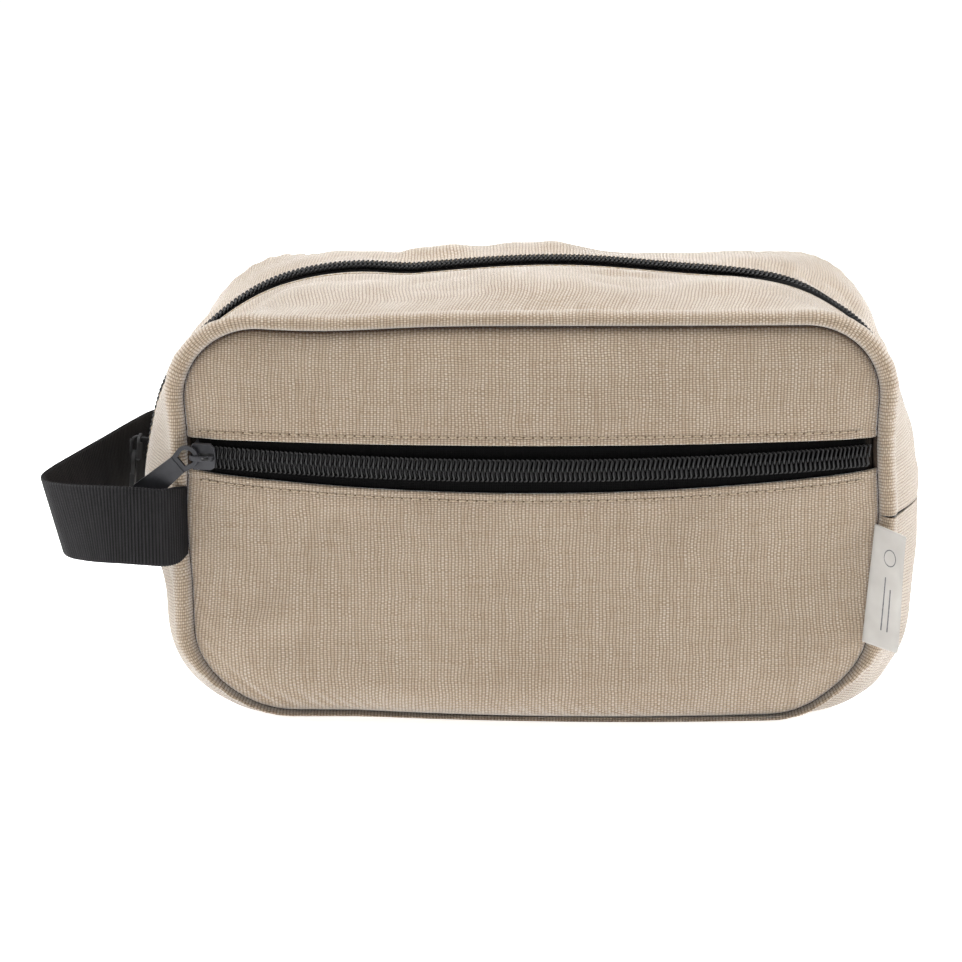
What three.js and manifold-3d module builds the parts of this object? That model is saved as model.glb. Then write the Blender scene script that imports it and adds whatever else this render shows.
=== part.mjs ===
// Canvas wash bag with a top-opening main zip, a zipped front pocket and a webbing carry loop.
// Millimetres, +Z up, +X to the right, the pocket faces -Y. The origin is the centre of the base.
import * as THREE from 'three';
import { mergeVertices } from 'three/addons/utils/BufferGeometryUtils.js';
import Module from 'manifold-3d';

const wasm = await Module();
wasm.setup();

// ---- driving dimensions -------------------------------------------------------------------

const CLOTH = 1.2; // canvas, doubled at its folded edges
const LINING = 0.6;
const TAPE = 0.6;
const GAP = 0.3; // air kept between touching layers
const SEAM_DEPTH = 50; // the two panel seams lie this far either side of the mid-plane

// The seam that joins a panel to the gusset, right half.
const SIDE_SEAM_Z = 69;
const SEAM = { side: 109.4, footSide: 101.5, top: 130, topRadius: 22, foot: 4, footRadius: 30 };
// The gusset's outline half-way between the two seams, right half.
const RIDGE = { side: 126, footSide: 121.5, top: 138.5, topRadius: 65, foot: 0, footRadius: 33 };
const RIDGE_CROWN = 3; // the top rises this much more towards the middle

const TOP_FLAT = 0.35; // share of the depth over which the gusset is flat, above the side seams
const FOOT_FLAT = 0.75; // the same along the base

const FRONT_CROWN = 10; // how far the stuffed panels stand proud of their seams
const BACK_CROWN = 7;
const CROWN_Z = 60;
const CROWN_POWER = 4;

const FRONT_ZIP_Z = 89.3;
const FRONT_MOUTH = 5; // half the gap between the folded edges at the ends
const FRONT_MOUTH_SWELL = 2; // and what it gains in the middle
const MAIN_MOUTH = 5;
const TAPE_HALF = 15.5;
const COIL_NEAR = 0.6;
const COIL_FAR = 3.5;
const COIL_PROUD = 1; // the coil stands this far out of the canvas
const ZIP_END = 3.4; // tapes and coils stop this short of the seams

const SLIDER_HALF_LENGTH = 4;
const SLIDER_PLATE = 1.1;
const PULL_LENGTH = 24;
const PULL_ANGLE = 41; // degrees below level, pointing left
const PULL_LIFT = 0.7; // the pull's eye hangs this far off the bridge's centre line

const WEBBING = { width: 25, thickness: 1.4 };
const LABEL = { width: 12, height: 37, thickness: 0.7, z: 48, angle: 35 };

const COLOURS = {
  canvas: { color: 0xb9a58c, roughness: 0.95, metalness: 0 },
  lining: { color: 0x24242a, roughness: 0.85, metalness: 0 },
  tape: { color: 0x141416, roughness: 0.85, metalness: 0 },
  coil: { color: 0x1c1c1f, roughness: 0.4, metalness: 0 },
  slider: { color: 0x45454a, roughness: 0.4, metalness: 0.6 },
  webbing: { color: 0x17171a, roughness: 0.8, metalness: 0 },
  label: { color: 0xe9e6e0, roughness: 0.8, metalness: 0 },
};

// ---- outlines -----------------------------------------------------------------------------

// A path from start to end past a corner that is rounded to the radius.
function roundedCorner(start, corner, end, radius) {
  const back = start.clone().sub(corner).normalize();
  const on = end.clone().sub(corner).normalize();
  const halfAngle = back.angleTo(on) / 2;
  const reach = radius / Math.tan(halfAngle);
  const from = corner.clone().addScaledVector(back, reach);
  const to = corner.clone().addScaledVector(on, reach);
  const centre = back.clone().add(on).normalize();
  centre.multiplyScalar(radius / Math.sin(halfAngle)).add(corner);
  const path = new THREE.Path();
  path.moveTo(start.x, start.y);
  path.lineTo(from.x, from.y);
  const fromAngle = from.sub(centre).angle();
  const toAngle = to.sub(centre).angle();
  const turn = THREE.MathUtils.euclideanModulo(toAngle - fromAngle, 2 * Math.PI);
  path.absarc(centre.x, centre.y, radius, fromAngle, toAngle, turn > Math.PI);
  path.lineTo(end.x, end.y);
  return path;
}

// The upper and lower quarters of an outline, each walked from the side seam to the mid-plane.
// An inset shrinks the outline evenly.
function quarters(outline, inset = 0) {
  const start = new THREE.Vector2(outline.side - inset, SIDE_SEAM_Z);
  const top = outline.top - inset;
  const foot = outline.foot + inset;
  return {
    upper: roundedCorner(start, new THREE.Vector2(outline.side - inset, top),
      new THREE.Vector2(0, top), outline.topRadius - inset),
    lower: roundedCorner(start, new THREE.Vector2(outline.footSide - inset, foot),
      new THREE.Vector2(0, foot), outline.footRadius - inset),
  };
}

const seam = quarters(SEAM);
const ridge = quarters(RIDGE);

// Where along a quarter, counted from the side seam, the outline has the given height.
function seamHalfWidth(z) {
  const path = z > SIDE_SEAM_Z ? seam.upper : seam.lower;
  let low = 0;
  let high = 1;
  for (let step = 0; step < 40; step += 1) {
    const middle = (low + high) / 2;
    const beyond = Math.abs(path.getPointAt(middle).y - SIDE_SEAM_Z) < Math.abs(z - SIDE_SEAM_Z);
    if (beyond) low = middle;
    else high = middle;
  }
  return path.getPointAt(low).x;
}

// ---- the gusset ---------------------------------------------------------------------------

// Share of the way from seam outline to ridge outline at a depth, as a rounded shoulder.
function shoulder(depth, flat) {
  const across = Math.min(1, Math.max(0, (Math.abs(depth) / SEAM_DEPTH - flat) / (1 - flat)));
  return Math.sqrt(1 - across * across);
}

function gussetOutline(quarter, along, depth) {
  const eased = THREE.MathUtils.smoothstep(along, 0, 0.6);
  const flat = quarter === 'upper' ? TOP_FLAT : THREE.MathUtils.lerp(TOP_FLAT, FOOT_FLAT, eased);
  const point = seam[quarter].getPointAt(along);
  point.lerp(ridge[quarter].getPointAt(along), shoulder(depth, flat));
  if (quarter === 'upper') {
    const straight = RIDGE.side - RIDGE.topRadius;
    const across = Math.min(1, point.x / straight);
    point.y += RIDGE_CROWN * (1 - across * across) ** 2 * shoulder(depth, flat);
  }
  return point;
}

// A point of the gusset: turn runs from -1 at the left side seam over the top (or under the
// base) to 1 at the right side seam, and inset goes in through the cloth.
function gussetPoint(quarter, turn, depth, inset) {
  const along = 1 - Math.abs(turn);
  const step = 0.004;
  const before = gussetOutline(quarter, Math.max(0, along - step), depth);
  const after = gussetOutline(quarter, Math.min(1, along + step), depth);
  const tangent = after.sub(before).normalize();
  const outward = quarter === 'upper' ? 1 : -1;
  const point = gussetOutline(quarter, along, depth);
  point.x -= outward * tangent.y * inset;
  point.y += outward * tangent.x * inset;
  return new THREE.Vector3(Math.sign(turn) * point.x, depth, point.y);
}

// ---- the panels ---------------------------------------------------------------------------

const ARC_RADIUS = (SEAM.side ** 2 + FRONT_CROWN ** 2) / (2 * FRONT_CROWN);

function rise(z) {
  const reach = z > CROWN_Z ? SEAM.top - CROWN_Z : CROWN_Z - SEAM.foot;
  return 1 - (Math.abs(z - CROWN_Z) / reach) ** CROWN_POWER;
}

// How far a panel stands proud: a circular arc across the bag at the height of the front zip.
function crown(across, z) {
  const arc = Math.sqrt(ARC_RADIUS ** 2 - (across * SEAM.side) ** 2) - ARC_RADIUS + FRONT_CROWN;
  return (arc / FRONT_CROWN) * (rise(z) / rise(FRONT_ZIP_Z));
}

const RIM = SEAM_DEPTH + CLOTH; // outer face of a panel at its seam

function frontPoint(across, z, inset) {
  const x = across * seamHalfWidth(z);
  return new THREE.Vector3(x, -RIM - FRONT_CROWN * crown(across, z) + inset, z);
}

function backPoint(across, z, inset) {
  const x = across * seamHalfWidth(z);
  return new THREE.Vector3(x, RIM + BACK_CROWN * crown(across, z) - inset, z);
}

// ---- solids -------------------------------------------------------------------------------

const object = new THREE.Group();

function addMesh(name, geometry, finish, parent = object) {
  const mesh = new THREE.Mesh(geometry, new THREE.MeshStandardMaterial(COLOURS[finish]));
  mesh.name = name;
  parent.add(mesh);
  return mesh;
}

// A flat slab bent into place: place(u, v, layer) gives the point for u and v from -1 to 1,
// with layer 0 on the inner face and 1 on the outer face.
function bentSheet(columns, rows, place) {
  const geometry = new THREE.BoxGeometry(2, 2, 1, columns, rows, 1);
  const spots = geometry.attributes.position;
  for (let i = 0; i < spots.count; i += 1) {
    const spot = place(spots.getX(i), spots.getY(i), spots.getZ(i) + 0.5);
    spots.setXYZ(i, spot.x, spot.y, spot.z);
  }
  geometry.computeVertexNormals();
  return geometry;
}

const between = (low, high, u) => THREE.MathUtils.lerp(low, high, (u + 1) / 2);

// From 0 to 1 as v goes from -1 to 1, in steps that shrink towards 1.
const easeOut = (v) => Math.sin((((v + 1) / 2) * Math.PI) / 2);

// ---- gusset pieces ------------------------------------------------------------------------

const UPPER_COLUMNS = 34;
const LOWER_COLUMNS = 24;
const EDGE = SEAM_DEPTH - GAP;
const LINING_INSET = CLOTH + TAPE + 4 * GAP;

// A strip on one side of the mid-plane (side is -1 in front and 1 behind). Its rows crowd
// together towards the seam, where the gusset rolls over.
function upperStrip(side, near, far, rows, inset, thickness, reach = 1) {
  return bentSheet(UPPER_COLUMNS, rows, (u, v, layer) => {
    const turn = (u || Number.EPSILON) * reach;
    const depth = side * (near + (far - near) * easeOut(v * side));
    return gussetPoint('upper', turn, depth, inset + thickness * (1 - layer));
  });
}

function lowerStrip(halfDepth, rows, inset, thickness) {
  return bentSheet(LOWER_COLUMNS, rows, (u, v, layer) => {
    const turn = -(u || Number.EPSILON);
    const depth = Math.sin((v * Math.PI) / 2) * halfDepth;
    return gussetPoint('lower', turn, depth, inset + thickness * (1 - layer));
  });
}

const JOIN = 0.997; // the strips stop just short of the side seams

addMesh('gusset_top_front', upperStrip(-1, MAIN_MOUTH, EDGE, 5, 0, CLOTH, JOIN), 'canvas');
addMesh('gusset_top_back', upperStrip(1, MAIN_MOUTH, EDGE, 5, 0, CLOTH, JOIN), 'canvas');
addMesh('gusset_bottom', lowerStrip(EDGE, 8, 0, CLOTH), 'canvas');

const LINING_EDGE = 46;
const LINING_MOUTH = 7;
addMesh('lining_top_front',
  upperStrip(-1, LINING_MOUTH, LINING_EDGE, 4, LINING_INSET, LINING, JOIN), 'lining');
addMesh('lining_top_back',
  upperStrip(1, LINING_MOUTH, LINING_EDGE, 4, LINING_INSET, LINING, JOIN), 'lining');
addMesh('lining_bottom', lowerStrip(LINING_EDGE, 8, LINING_INSET, LINING), 'lining');

// ---- main zip -----------------------------------------------------------------------------

const MAIN_REACH = 0.975;
const TAPE_INSET = CLOTH + GAP;

for (const [side, sign] of [['front', -1], ['back', 1]]) {
  addMesh(`main_zip_tape_${side}`,
    upperStrip(sign, COIL_NEAR, TAPE_HALF, 1, TAPE_INSET, TAPE, MAIN_REACH), 'tape');
  addMesh(`main_zip_coil_${side}`,
    upperStrip(sign, COIL_NEAR, COIL_FAR, 1, -COIL_PROUD, COIL_PROUD + CLOTH, MAIN_REACH), 'coil');
}

// ---- front and back panels ----------------------------------------------------------------

const PANEL_COLUMNS = 12;

function mouth(across) {
  return FRONT_MOUTH + FRONT_MOUTH_SWELL * crown(across, FRONT_ZIP_Z);
}

addMesh('front_panel_upper', bentSheet(PANEL_COLUMNS, 6, (u, v, layer) => {
  const low = FRONT_ZIP_Z + mouth(u);
  const z = low + (SEAM.top - low) * easeOut(v);
  return frontPoint(u, z, CLOTH * (1 - layer));
}), 'canvas');

addMesh('front_panel_lower', bentSheet(PANEL_COLUMNS, 8, (u, v, layer) => {
  const high = FRONT_ZIP_Z - mouth(u);
  const z = high - (high - SEAM.foot) * easeOut(-v);
  return frontPoint(u, z, CLOTH * (1 - layer));
}), 'canvas');

addMesh('back_panel', bentSheet(PANEL_COLUMNS, 12, (u, v, layer) => {
  const z = v > 0
    ? CROWN_Z + (SEAM.top - CROWN_Z) * Math.sin((v * Math.PI) / 2)
    : CROWN_Z + (CROWN_Z - SEAM.foot) * Math.sin((v * Math.PI) / 2);
  return backPoint(-u, z, CLOTH * (1 - layer));
}), 'canvas');

// ---- linings and bindings -----------------------------------------------------------------

// A flat sheet that fills the outline inside the gusset.
function flatLining(depth) {
  const inset = CLOTH + 2 * GAP;
  const { upper, lower } = quarters(SEAM, inset);
  const stations = 11;
  const points = [];
  for (let i = 0; i <= stations; i += 1) points.push(lower.getPointAt(1 - i / stations));
  for (let i = 1; i <= stations; i += 1) points.push(upper.getPointAt(i / stations));
  const mirrored = points.slice(1, -1).reverse().map((p) => new THREE.Vector2(-p.x, p.y));
  const sheet = new THREE.ExtrudeGeometry(new THREE.Shape([...points, ...mirrored]),
    { depth: LINING, bevelEnabled: false });
  sheet.rotateX(Math.PI / 2);
  sheet.translate(0, depth, 0);
  return sheet;
}

const POCKET_DEPTH = -47.3; // rear faces of the flat linings
const FRONT_LINING_DEPTH = -46.4;
addMesh('pocket_lining', flatLining(POCKET_DEPTH), 'lining');
addMesh('lining_front', flatLining(FRONT_LINING_DEPTH), 'lining');
addMesh('lining_back', flatLining(-FRONT_LINING_DEPTH + LINING), 'lining');

// Tape that binds the raw seam edges inside, one ring to each panel seam.
const BINDING = { near: 38, far: 45, thickness: 0.8 };
const BINDING_COLUMNS = 52;
const BINDING_INSET = LINING_INSET + LINING + 5 * GAP;

function seamBinding(sign) {
  return bentSheet(BINDING_COLUMNS, 1, (u, v, layer) => {
    const turn = (u || Number.EPSILON) * 1.996;
    const quarter = Math.abs(turn) <= 1 ? 'upper' : 'lower';
    const along = quarter === 'upper' ? turn : Math.sign(turn) * (2 - Math.abs(turn));
    const depth = sign * between(BINDING.near, BINDING.far, v * sign);
    const inset = BINDING_INSET + BINDING.thickness * (1 - layer);
    return gussetPoint(quarter, along, depth, inset);
  });
}

addMesh('seam_binding_front', seamBinding(-1), 'tape');
addMesh('seam_binding_back', seamBinding(1), 'tape');

// ---- front zip ----------------------------------------------------------------------------

const ZIP_REACH = 1 - ZIP_END / SEAM.side;
const FRONT_ZIP_COLUMNS = 20;

function frontZipStrip(near, far, inset, thickness, flat) {
  return bentSheet(FRONT_ZIP_COLUMNS, 1, (u, v, layer) => {
    const z = FRONT_ZIP_Z + between(near, far, v);
    const height = flat ? FRONT_ZIP_Z : z;
    const spot = frontPoint(u * ZIP_REACH, height, inset + thickness * (1 - layer));
    spot.z = z;
    return spot;
  });
}

for (const [side, sign] of [['upper', 1], ['lower', -1]]) {
  const strip = (near, far, inset, thickness, flat) => (sign > 0
    ? frontZipStrip(near, far, inset, thickness, flat)
    : frontZipStrip(-far, -near, inset, thickness, flat));
  addMesh(`front_zip_tape_${side}`, strip(COIL_NEAR, TAPE_HALF, TAPE_INSET, TAPE, false), 'tape');
  addMesh(`front_zip_coil_${side}`,
    strip(COIL_NEAR, COIL_FAR, -COIL_PROUD, COIL_PROUD + CLOTH, true), 'coil');
}

// ---- sliders and pulls --------------------------------------------------------------------

function toManifold(geometry) {
  const bare = geometry.clone();
  bare.deleteAttribute('normal');
  bare.deleteAttribute('uv');
  const merged = mergeVertices(bare, 1e-4);
  return new wasm.Manifold(new wasm.Mesh({
    numProp: 3,
    vertProperties: new Float32Array(merged.attributes.position.array),
    triVerts: new Uint32Array(merged.index.array),
  }));
}

function toGeometry(solid) {
  const mesh = solid.getMesh();
  const geometry = new THREE.BufferGeometry();
  geometry.setAttribute('position', new THREE.BufferAttribute(mesh.vertProperties, 3));
  geometry.setIndex(new THREE.BufferAttribute(mesh.triVerts, 1));
  geometry.computeVertexNormals();
  return geometry;
}

const outlineOf = (pairs) => new THREE.Shape(pairs.map(([x, y]) => new THREE.Vector2(x, y)));

// An outline in the plane of the zip, thickened between two heights above the canvas.
function slab(shape, low, high) {
  const geometry = new THREE.ExtrudeGeometry(shape,
    { depth: high - low, bevelEnabled: false, curveSegments: 8 });
  geometry.translate(0, 0, low);
  return geometry;
}

// The slider's own frame: X along the zip towards the closed chain, Z out of the canvas.
const TOP_PLATE_LOW = COIL_PROUD + 0.4;
const TOP_PLATE_HIGH = TOP_PLATE_LOW + SLIDER_PLATE;
const BOTTOM_PLATE_HIGH = -(TAPE_INSET + TAPE + 0.4);
const LEG = { x: -4.2, half: 0.5 };
const BRIDGE = { half: 0.95, hole: 2.1, top: 3.1, slopeFrom: 0.4, end: 3.1 };

function sliderGeometry() {
  const nose = -SLIDER_HALF_LENGTH;
  const plate = outlineOf([[nose - 0.9, -1.6], [nose + 0.8, -4.5], [-1, -4.5],
    [SLIDER_HALF_LENGTH, -3.8], [SLIDER_HALF_LENGTH, 3.8], [-1, 4.5], [nose + 0.8, 4.5],
    [nose - 0.9, 1.6]]);
  const lowPlate = outlineOf([[nose + 0.8, -4.5], [-1, -4.5], [SLIDER_HALF_LENGTH, -3.8],
    [SLIDER_HALF_LENGTH, 3.8], [-1, 4.5], [nose + 0.8, 4.5]]);
  const post = outlineOf([[nose + 0.9, -0.25], [-1, -0.25], [-1, 0.25], [nose + 0.9, 0.25]]);
  let solid = toManifold(slab(plate, TOP_PLATE_LOW, TOP_PLATE_HIGH));
  solid = solid.add(toManifold(
    slab(lowPlate, BOTTOM_PLATE_HIGH - SLIDER_PLATE, BOTTOM_PLATE_HIGH)));
  solid = solid.add(toManifold(slab(post, BOTTOM_PLATE_HIGH - 0.2, TOP_PLATE_LOW + 0.2)));
  for (const side of [-1, 1]) {
    const flange = outlineOf([[-3, side * 3.8], [-1, side * 3.8], [-1, side * 4.5],
      [-3, side * 4.5]]);
    solid = solid.add(toManifold(slab(flange, -CLOTH + 0.1, TOP_PLATE_LOW + 0.2)));
  }
  const foot = -0.2;
  const arch = outlineOf([[LEG.x - LEG.half, foot], [LEG.x - LEG.half, 2.2],
    [LEG.x + 0.2, BRIDGE.top], [BRIDGE.slopeFrom, BRIDGE.top], [BRIDGE.end, 1.1],
    [BRIDGE.end, foot]]);
  arch.holes.push(outlineOf([[LEG.x + LEG.half, 0], [1.6, 0], [0.2, BRIDGE.hole],
    [LEG.x + LEG.half, BRIDGE.hole]]));
  const bridge = slab(arch, -BRIDGE.half, BRIDGE.half);
  bridge.rotateX(Math.PI / 2);
  bridge.translate(0, 0, TOP_PLATE_HIGH);
  return toGeometry(solid.add(toManifold(bridge)));
}

// The pull's own frame: the leg of the bridge at the origin, the plate along -X.
const EYE = { centre: -1, radius: 2.5, ring: 3.8 };
const PLATE_START = -4.6;
const RING_LOW = TOP_PLATE_HIGH + 0.45;
const RING_HIGH = RING_LOW + 1.2;

function pullGeometry() {
  const end = EYE.centre + EYE.ring - PULL_LENGTH;
  const ring = new THREE.Shape();
  ring.absarc(EYE.centre, 0, EYE.ring, -Math.PI / 2, Math.PI / 2, false);
  ring.lineTo(PLATE_START - 0.5, 3);
  ring.lineTo(PLATE_START - 0.5, -3);
  const eye = new THREE.Path();
  eye.absarc(EYE.centre, 0, EYE.radius, -Math.PI / 2, Math.PI / 2, false);
  eye.lineTo(EYE.centre - 2.2, 1.8);
  eye.lineTo(EYE.centre - 2.2, -1.8);
  ring.holes.push(eye);
  const plate = outlineOf([[PLATE_START, -3.1], [PLATE_START, 3.1], [end + 0.8, 4],
    [end, 3.3], [end, -3.3], [end + 0.8, -4]]);
  const solid = toManifold(slab(ring, RING_LOW, RING_HIGH));
  return toGeometry(solid.add(toManifold(slab(plate, RING_LOW - 0.1, RING_HIGH + 0.3))));
}

const slider = sliderGeometry();
const pull = pullGeometry();

// The front slider rides an upright circular arc, and is parked at the left end of it.
const FRONT_ARC_CENTRE_Y = -RIM - FRONT_CROWN + ARC_RADIUS;
const FRONT_PARK_X = -102;
const frontArc = new THREE.Group();
frontArc.position.y = FRONT_ARC_CENTRE_Y;
frontArc.rotation.z = Math.asin(FRONT_PARK_X / ARC_RADIUS);
const frontSlider = new THREE.Group();
frontSlider.position.set(0, -ARC_RADIUS, FRONT_ZIP_Z);
frontSlider.rotation.x = Math.PI / 2;
frontArc.add(frontSlider);
object.add(frontArc);
addMesh('front_zip_slider', slider.clone(), 'slider', frontSlider);
const frontPull = addMesh('front_zip_pull', pull.clone(), 'slider', frontSlider);
frontPull.position.set(LEG.x, PULL_LIFT, 0);
frontPull.rotation.z = THREE.MathUtils.degToRad(PULL_ANGLE);

// The main slider rides the rounded shoulder of the left side, and is parked at its foot.
const MAIN_PARK_ANGLE = THREE.MathUtils.degToRad(4);
const mainArc = new THREE.Group();
mainArc.position.set(RIDGE.topRadius - RIDGE.side, 0, RIDGE.top - RIDGE.topRadius);
mainArc.rotation.y = MAIN_PARK_ANGLE;
const mainSlider = new THREE.Group();
mainSlider.position.x = -RIDGE.topRadius;
mainSlider.rotation.y = -Math.PI / 2;
mainArc.add(mainSlider);
object.add(mainArc);
addMesh('main_zip_slider', slider.clone(), 'slider', mainSlider);
const mainPull = addMesh('main_zip_pull', pull.clone(), 'slider', mainSlider);
mainPull.position.x = LEG.x;

// ---- carry loop ---------------------------------------------------------------------------

// The webbing's centre line, from the front seam round to the back seam.
const loopPath = new THREE.CatmullRomCurve3([
  [-109.9, -51.1, 66.4], [-111.6, -54.4, 66.5], [-115, -58.9, 67.4], [-121, -61, 68.6],
  [-132, -59.2, 69], [-143, -54, 69], [-150.4, -48, 68.8], [-152.3, -42, 68.8],
  [-150.5, -32, 68.8], [-145, -15, 68.8], [-138, 5, 68.8], [-131.5, 24, 68.8],
  [-127, 37, 68.4], [-121.5, 47, 67.6], [-116, 50.8, 67], [-109.9, 51.1, 67],
].map(([x, y, z]) => new THREE.Vector3(x, y, z)), false, 'centripetal');
const LOOP_SPAN = { front: 0.028, back: 0.842, gap: 0.009 };

function webbing(from, to, columns) {
  return bentSheet(columns, 1, (u, v, layer) => {
    const along = between(from, to, u);
    const spot = loopPath.getPointAt(along);
    const tangent = loopPath.getTangentAt(along);
    const offset = (layer - 0.5) * WEBBING.thickness;
    return new THREE.Vector3(spot.x - tangent.y * offset, spot.y + tangent.x * offset,
      spot.z - (v * WEBBING.width) / 2);
  });
}

addMesh('loop_end_front', webbing(0, LOOP_SPAN.front, 3), 'webbing');
addMesh('carry_loop',
  webbing(LOOP_SPAN.front + LOOP_SPAN.gap, LOOP_SPAN.back - LOOP_SPAN.gap, 30), 'webbing');
addMesh('loop_end_back', webbing(LOOP_SPAN.back, 1, 8), 'webbing');

// ---- side label ---------------------------------------------------------------------------

// Sewn into the front seam on the right, and leaning with it.
const labelLow = seamHalfWidth(LABEL.z - LABEL.height / 2);
const labelHigh = seamHalfWidth(LABEL.z + LABEL.height / 2);
const LABEL_LEAN = Math.atan2(labelHigh - labelLow, LABEL.height);
const labelHinge = new THREE.Group();
labelHinge.position.set(seamHalfWidth(LABEL.z), -RIM - 2 * GAP - LABEL.thickness / 2, LABEL.z);
labelHinge.rotation.y = LABEL_LEAN;
const labelFlap = new THREE.Group();
labelFlap.rotation.z = -THREE.MathUtils.degToRad(LABEL.angle);
labelHinge.add(labelFlap);
object.add(labelHinge);
const label = new THREE.BoxGeometry(LABEL.width, LABEL.thickness, LABEL.height);
label.translate(LABEL.width / 2, 0, 0);
addMesh('side_label', label, 'label', labelFlap);

export default object;
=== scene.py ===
"""A canvas wash bag: the cloth, zips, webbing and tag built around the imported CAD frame.

Shapes are worked out in millimetres and turned into metres when a mesh is made.
"""
import math

import bpy
import numpy as np
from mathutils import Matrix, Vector


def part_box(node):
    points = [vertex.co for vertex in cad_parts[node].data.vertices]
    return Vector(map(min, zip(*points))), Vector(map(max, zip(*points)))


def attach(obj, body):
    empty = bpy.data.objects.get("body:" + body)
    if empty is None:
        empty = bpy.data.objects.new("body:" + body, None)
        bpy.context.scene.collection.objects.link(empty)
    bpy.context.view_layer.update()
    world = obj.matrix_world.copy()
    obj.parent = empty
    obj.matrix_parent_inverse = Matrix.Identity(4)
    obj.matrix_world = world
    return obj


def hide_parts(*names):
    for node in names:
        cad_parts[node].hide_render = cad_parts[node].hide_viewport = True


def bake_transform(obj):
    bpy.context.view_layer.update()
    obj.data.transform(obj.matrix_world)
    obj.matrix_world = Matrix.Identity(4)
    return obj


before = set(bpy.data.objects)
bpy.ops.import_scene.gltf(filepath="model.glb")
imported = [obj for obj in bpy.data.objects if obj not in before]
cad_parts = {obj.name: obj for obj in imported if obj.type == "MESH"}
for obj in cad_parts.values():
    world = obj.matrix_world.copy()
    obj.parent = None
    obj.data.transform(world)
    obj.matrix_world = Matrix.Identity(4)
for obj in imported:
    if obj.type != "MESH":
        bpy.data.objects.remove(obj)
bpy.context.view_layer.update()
MM = 0.001


def box_mm(node):
    """A node's lowest and highest corner in millimetres."""
    low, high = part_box(node)
    return np.array(low) / MM, np.array(high) / MM


# ---- driving dimensions, from the frame ----

PANEL_LOW, PANEL_HIGH = box_mm("back_panel")
RIDGE_SIDE = box_mm("gusset_bottom")[1][0]
CLOTH = 1.2
SEAM_DEPTH = PANEL_LOW[1]
SEAM_SIDE = PANEL_HIGH[0]
SEAM_TOP = PANEL_HIGH[2]
SEAM_FOOT = PANEL_LOW[2]
SEAM_FOOT_SIDE = SEAM_SIDE - 7.9
SEAM_TOP_RADIUS = 25.0
SEAM_FOOT_RADIUS = 30.0
SIDE_SEAM_Z = 69.0
BAG_MIDDLE = np.array([0, 0, 65.0])
# The ridge is the gusset's outermost line, midway between the two panel seams.
RIDGE_FOOT_SIDE = RIDGE_SIDE - 4.5
RIDGE_CROWN = 3.0
RIDGE_TOP = box_mm("gusset_top_front")[1][2] - RIDGE_CROWN
RIDGE_TOP_RADIUS = 65.0
RIDGE_FOOT_RADIUS = 33.0
RIDGE_SHOULDER = RIDGE_SIDE - RIDGE_TOP_RADIUS
# Shares of the depth over which the gusset's section is level.
TOP_FLAT = 0.35
FOOT_FLAT = 0.75

# How far the stuffed panels stand proud of their rim.
RIM = SEAM_DEPTH + CLOTH
FRONT_CROWN = 10.0
BACK_CROWN = 7.0
CROWN_Z = 60.0
ARC_RADIUS = (SEAM_SIDE ** 2 + FRONT_CROWN ** 2) / (2 * FRONT_CROWN)

# The gusset's roll beside each seam, and the rounding of other edges.
PIPE_START = SEAM_DEPTH - 2.8
PIPE_OUT = 4.8
PIPE_PROUD = 4.0
TUCK = 2.5
ROLL_RADIUS = 2.6
FOLD_RADIUS = 0.9

# The zips: half the gap between the folded edges, and how the chains lie in it.
FRONT_ZIP_Z = box_mm("front_zip_coil_upper")[0][2] - 0.6
FRONT_MOUTH = 5.0
FRONT_SWELL = 2.5
MAIN_MOUTH = 5.8
ZIP_LIFT = 1.2
SHOULDER_LIFT = 1.4
ZIP_VALLEY = 4.0
TAPE_INSET = CLOTH + 0.3
TAPE_NEAR, TAPE_FAR = 0.3, 15.5
TAPE_REACH = 0.985
COIL_PITCH = 1.5
COIL_WIRE = 0.36
COIL_MIDDLE, COIL_SWING = 1.5, 1.85
COIL_HEAD = COIL_MIDDLE + COIL_SWING
STITCH_PITCH = 2.9
STITCH_BACK = 2.6
THREAD_RADIUS = 0.21

# What lies under the gusset's canvas: how deep, and between which depths from the middle.
LINING_INSET = 3.0
LINING_NEAR, LINING_FAR = 7, 46
BINDING_INSET = 4.6
BINDING_NEAR, BINDING_FAR = 38, 45
ALLOWANCE_DEPTH = 47.0
ALLOWANCE_RADIUS = 1.3

# Cloth: pitches of the weaves, of the webbing's ribs and of the gathers at a seam.
YARN = 1.05
ROW = 0.62
RIB_PITCH = 1.05
RIB_HEIGHT = 0.24
PUCKER = 5.2
UV_SCALE = 100.0
CANVAS_THICKNESS = 0.9
SHEET_THICKNESS = 0.5
BINDING_THICKNESS = 0.7
# Rows near a held edge of a sheet lie at these distances from it.
EDGE_STEPS = np.array([0, 0.12, 0.3, 0.55, 0.9, 1.4, 2.0, 2.3, 2.6, 2.9, 3.3, 4.0, 5.0, 6.3, 8.0])

# The carry loop: its webbing, the lean of its far fold, and the line of its middle.
FOLD_LEAN = 6.5
WEBBING_WIDTH = 25.0
WEBBING_THICKNESS = 1.4
LOOP_POINTS = np.array([
    (-108.6, -49.0, 67.4), (-110.4, -53.6, 67.2), (-115, -58.9, 67.6), (-121, -61, 68.6),
    (-132, -59.2, 69), (-143, -54, 69), (-150.4, -48, 68.8), (-152.3, -42, 68.8),
    (-150.5, -32, 68.8), (-145, -15, 68.8), (-138, 5, 68.8), (-131.5, 24, 68.8),
    (-127, 37, 68.4), (-121.5, 47, 67.6), (-116, 50.8, 67), (-109.9, 51.1, 67)])

SIDES = (("front", -1), ("back", 1))
HALVES = (("upper", 1), ("lower", -1))
# The share of a quarter's length over which its direction is measured.
TANGENT_STEP = 0.004

# ---- numbers ----


def smooth(low, high, value):
    """0 below low, 1 above high and an easy S between (low may be the larger)."""
    share = np.clip((value - low) / (high - low), 0, 1)
    return share * share * (3 - 2 * share)


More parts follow.
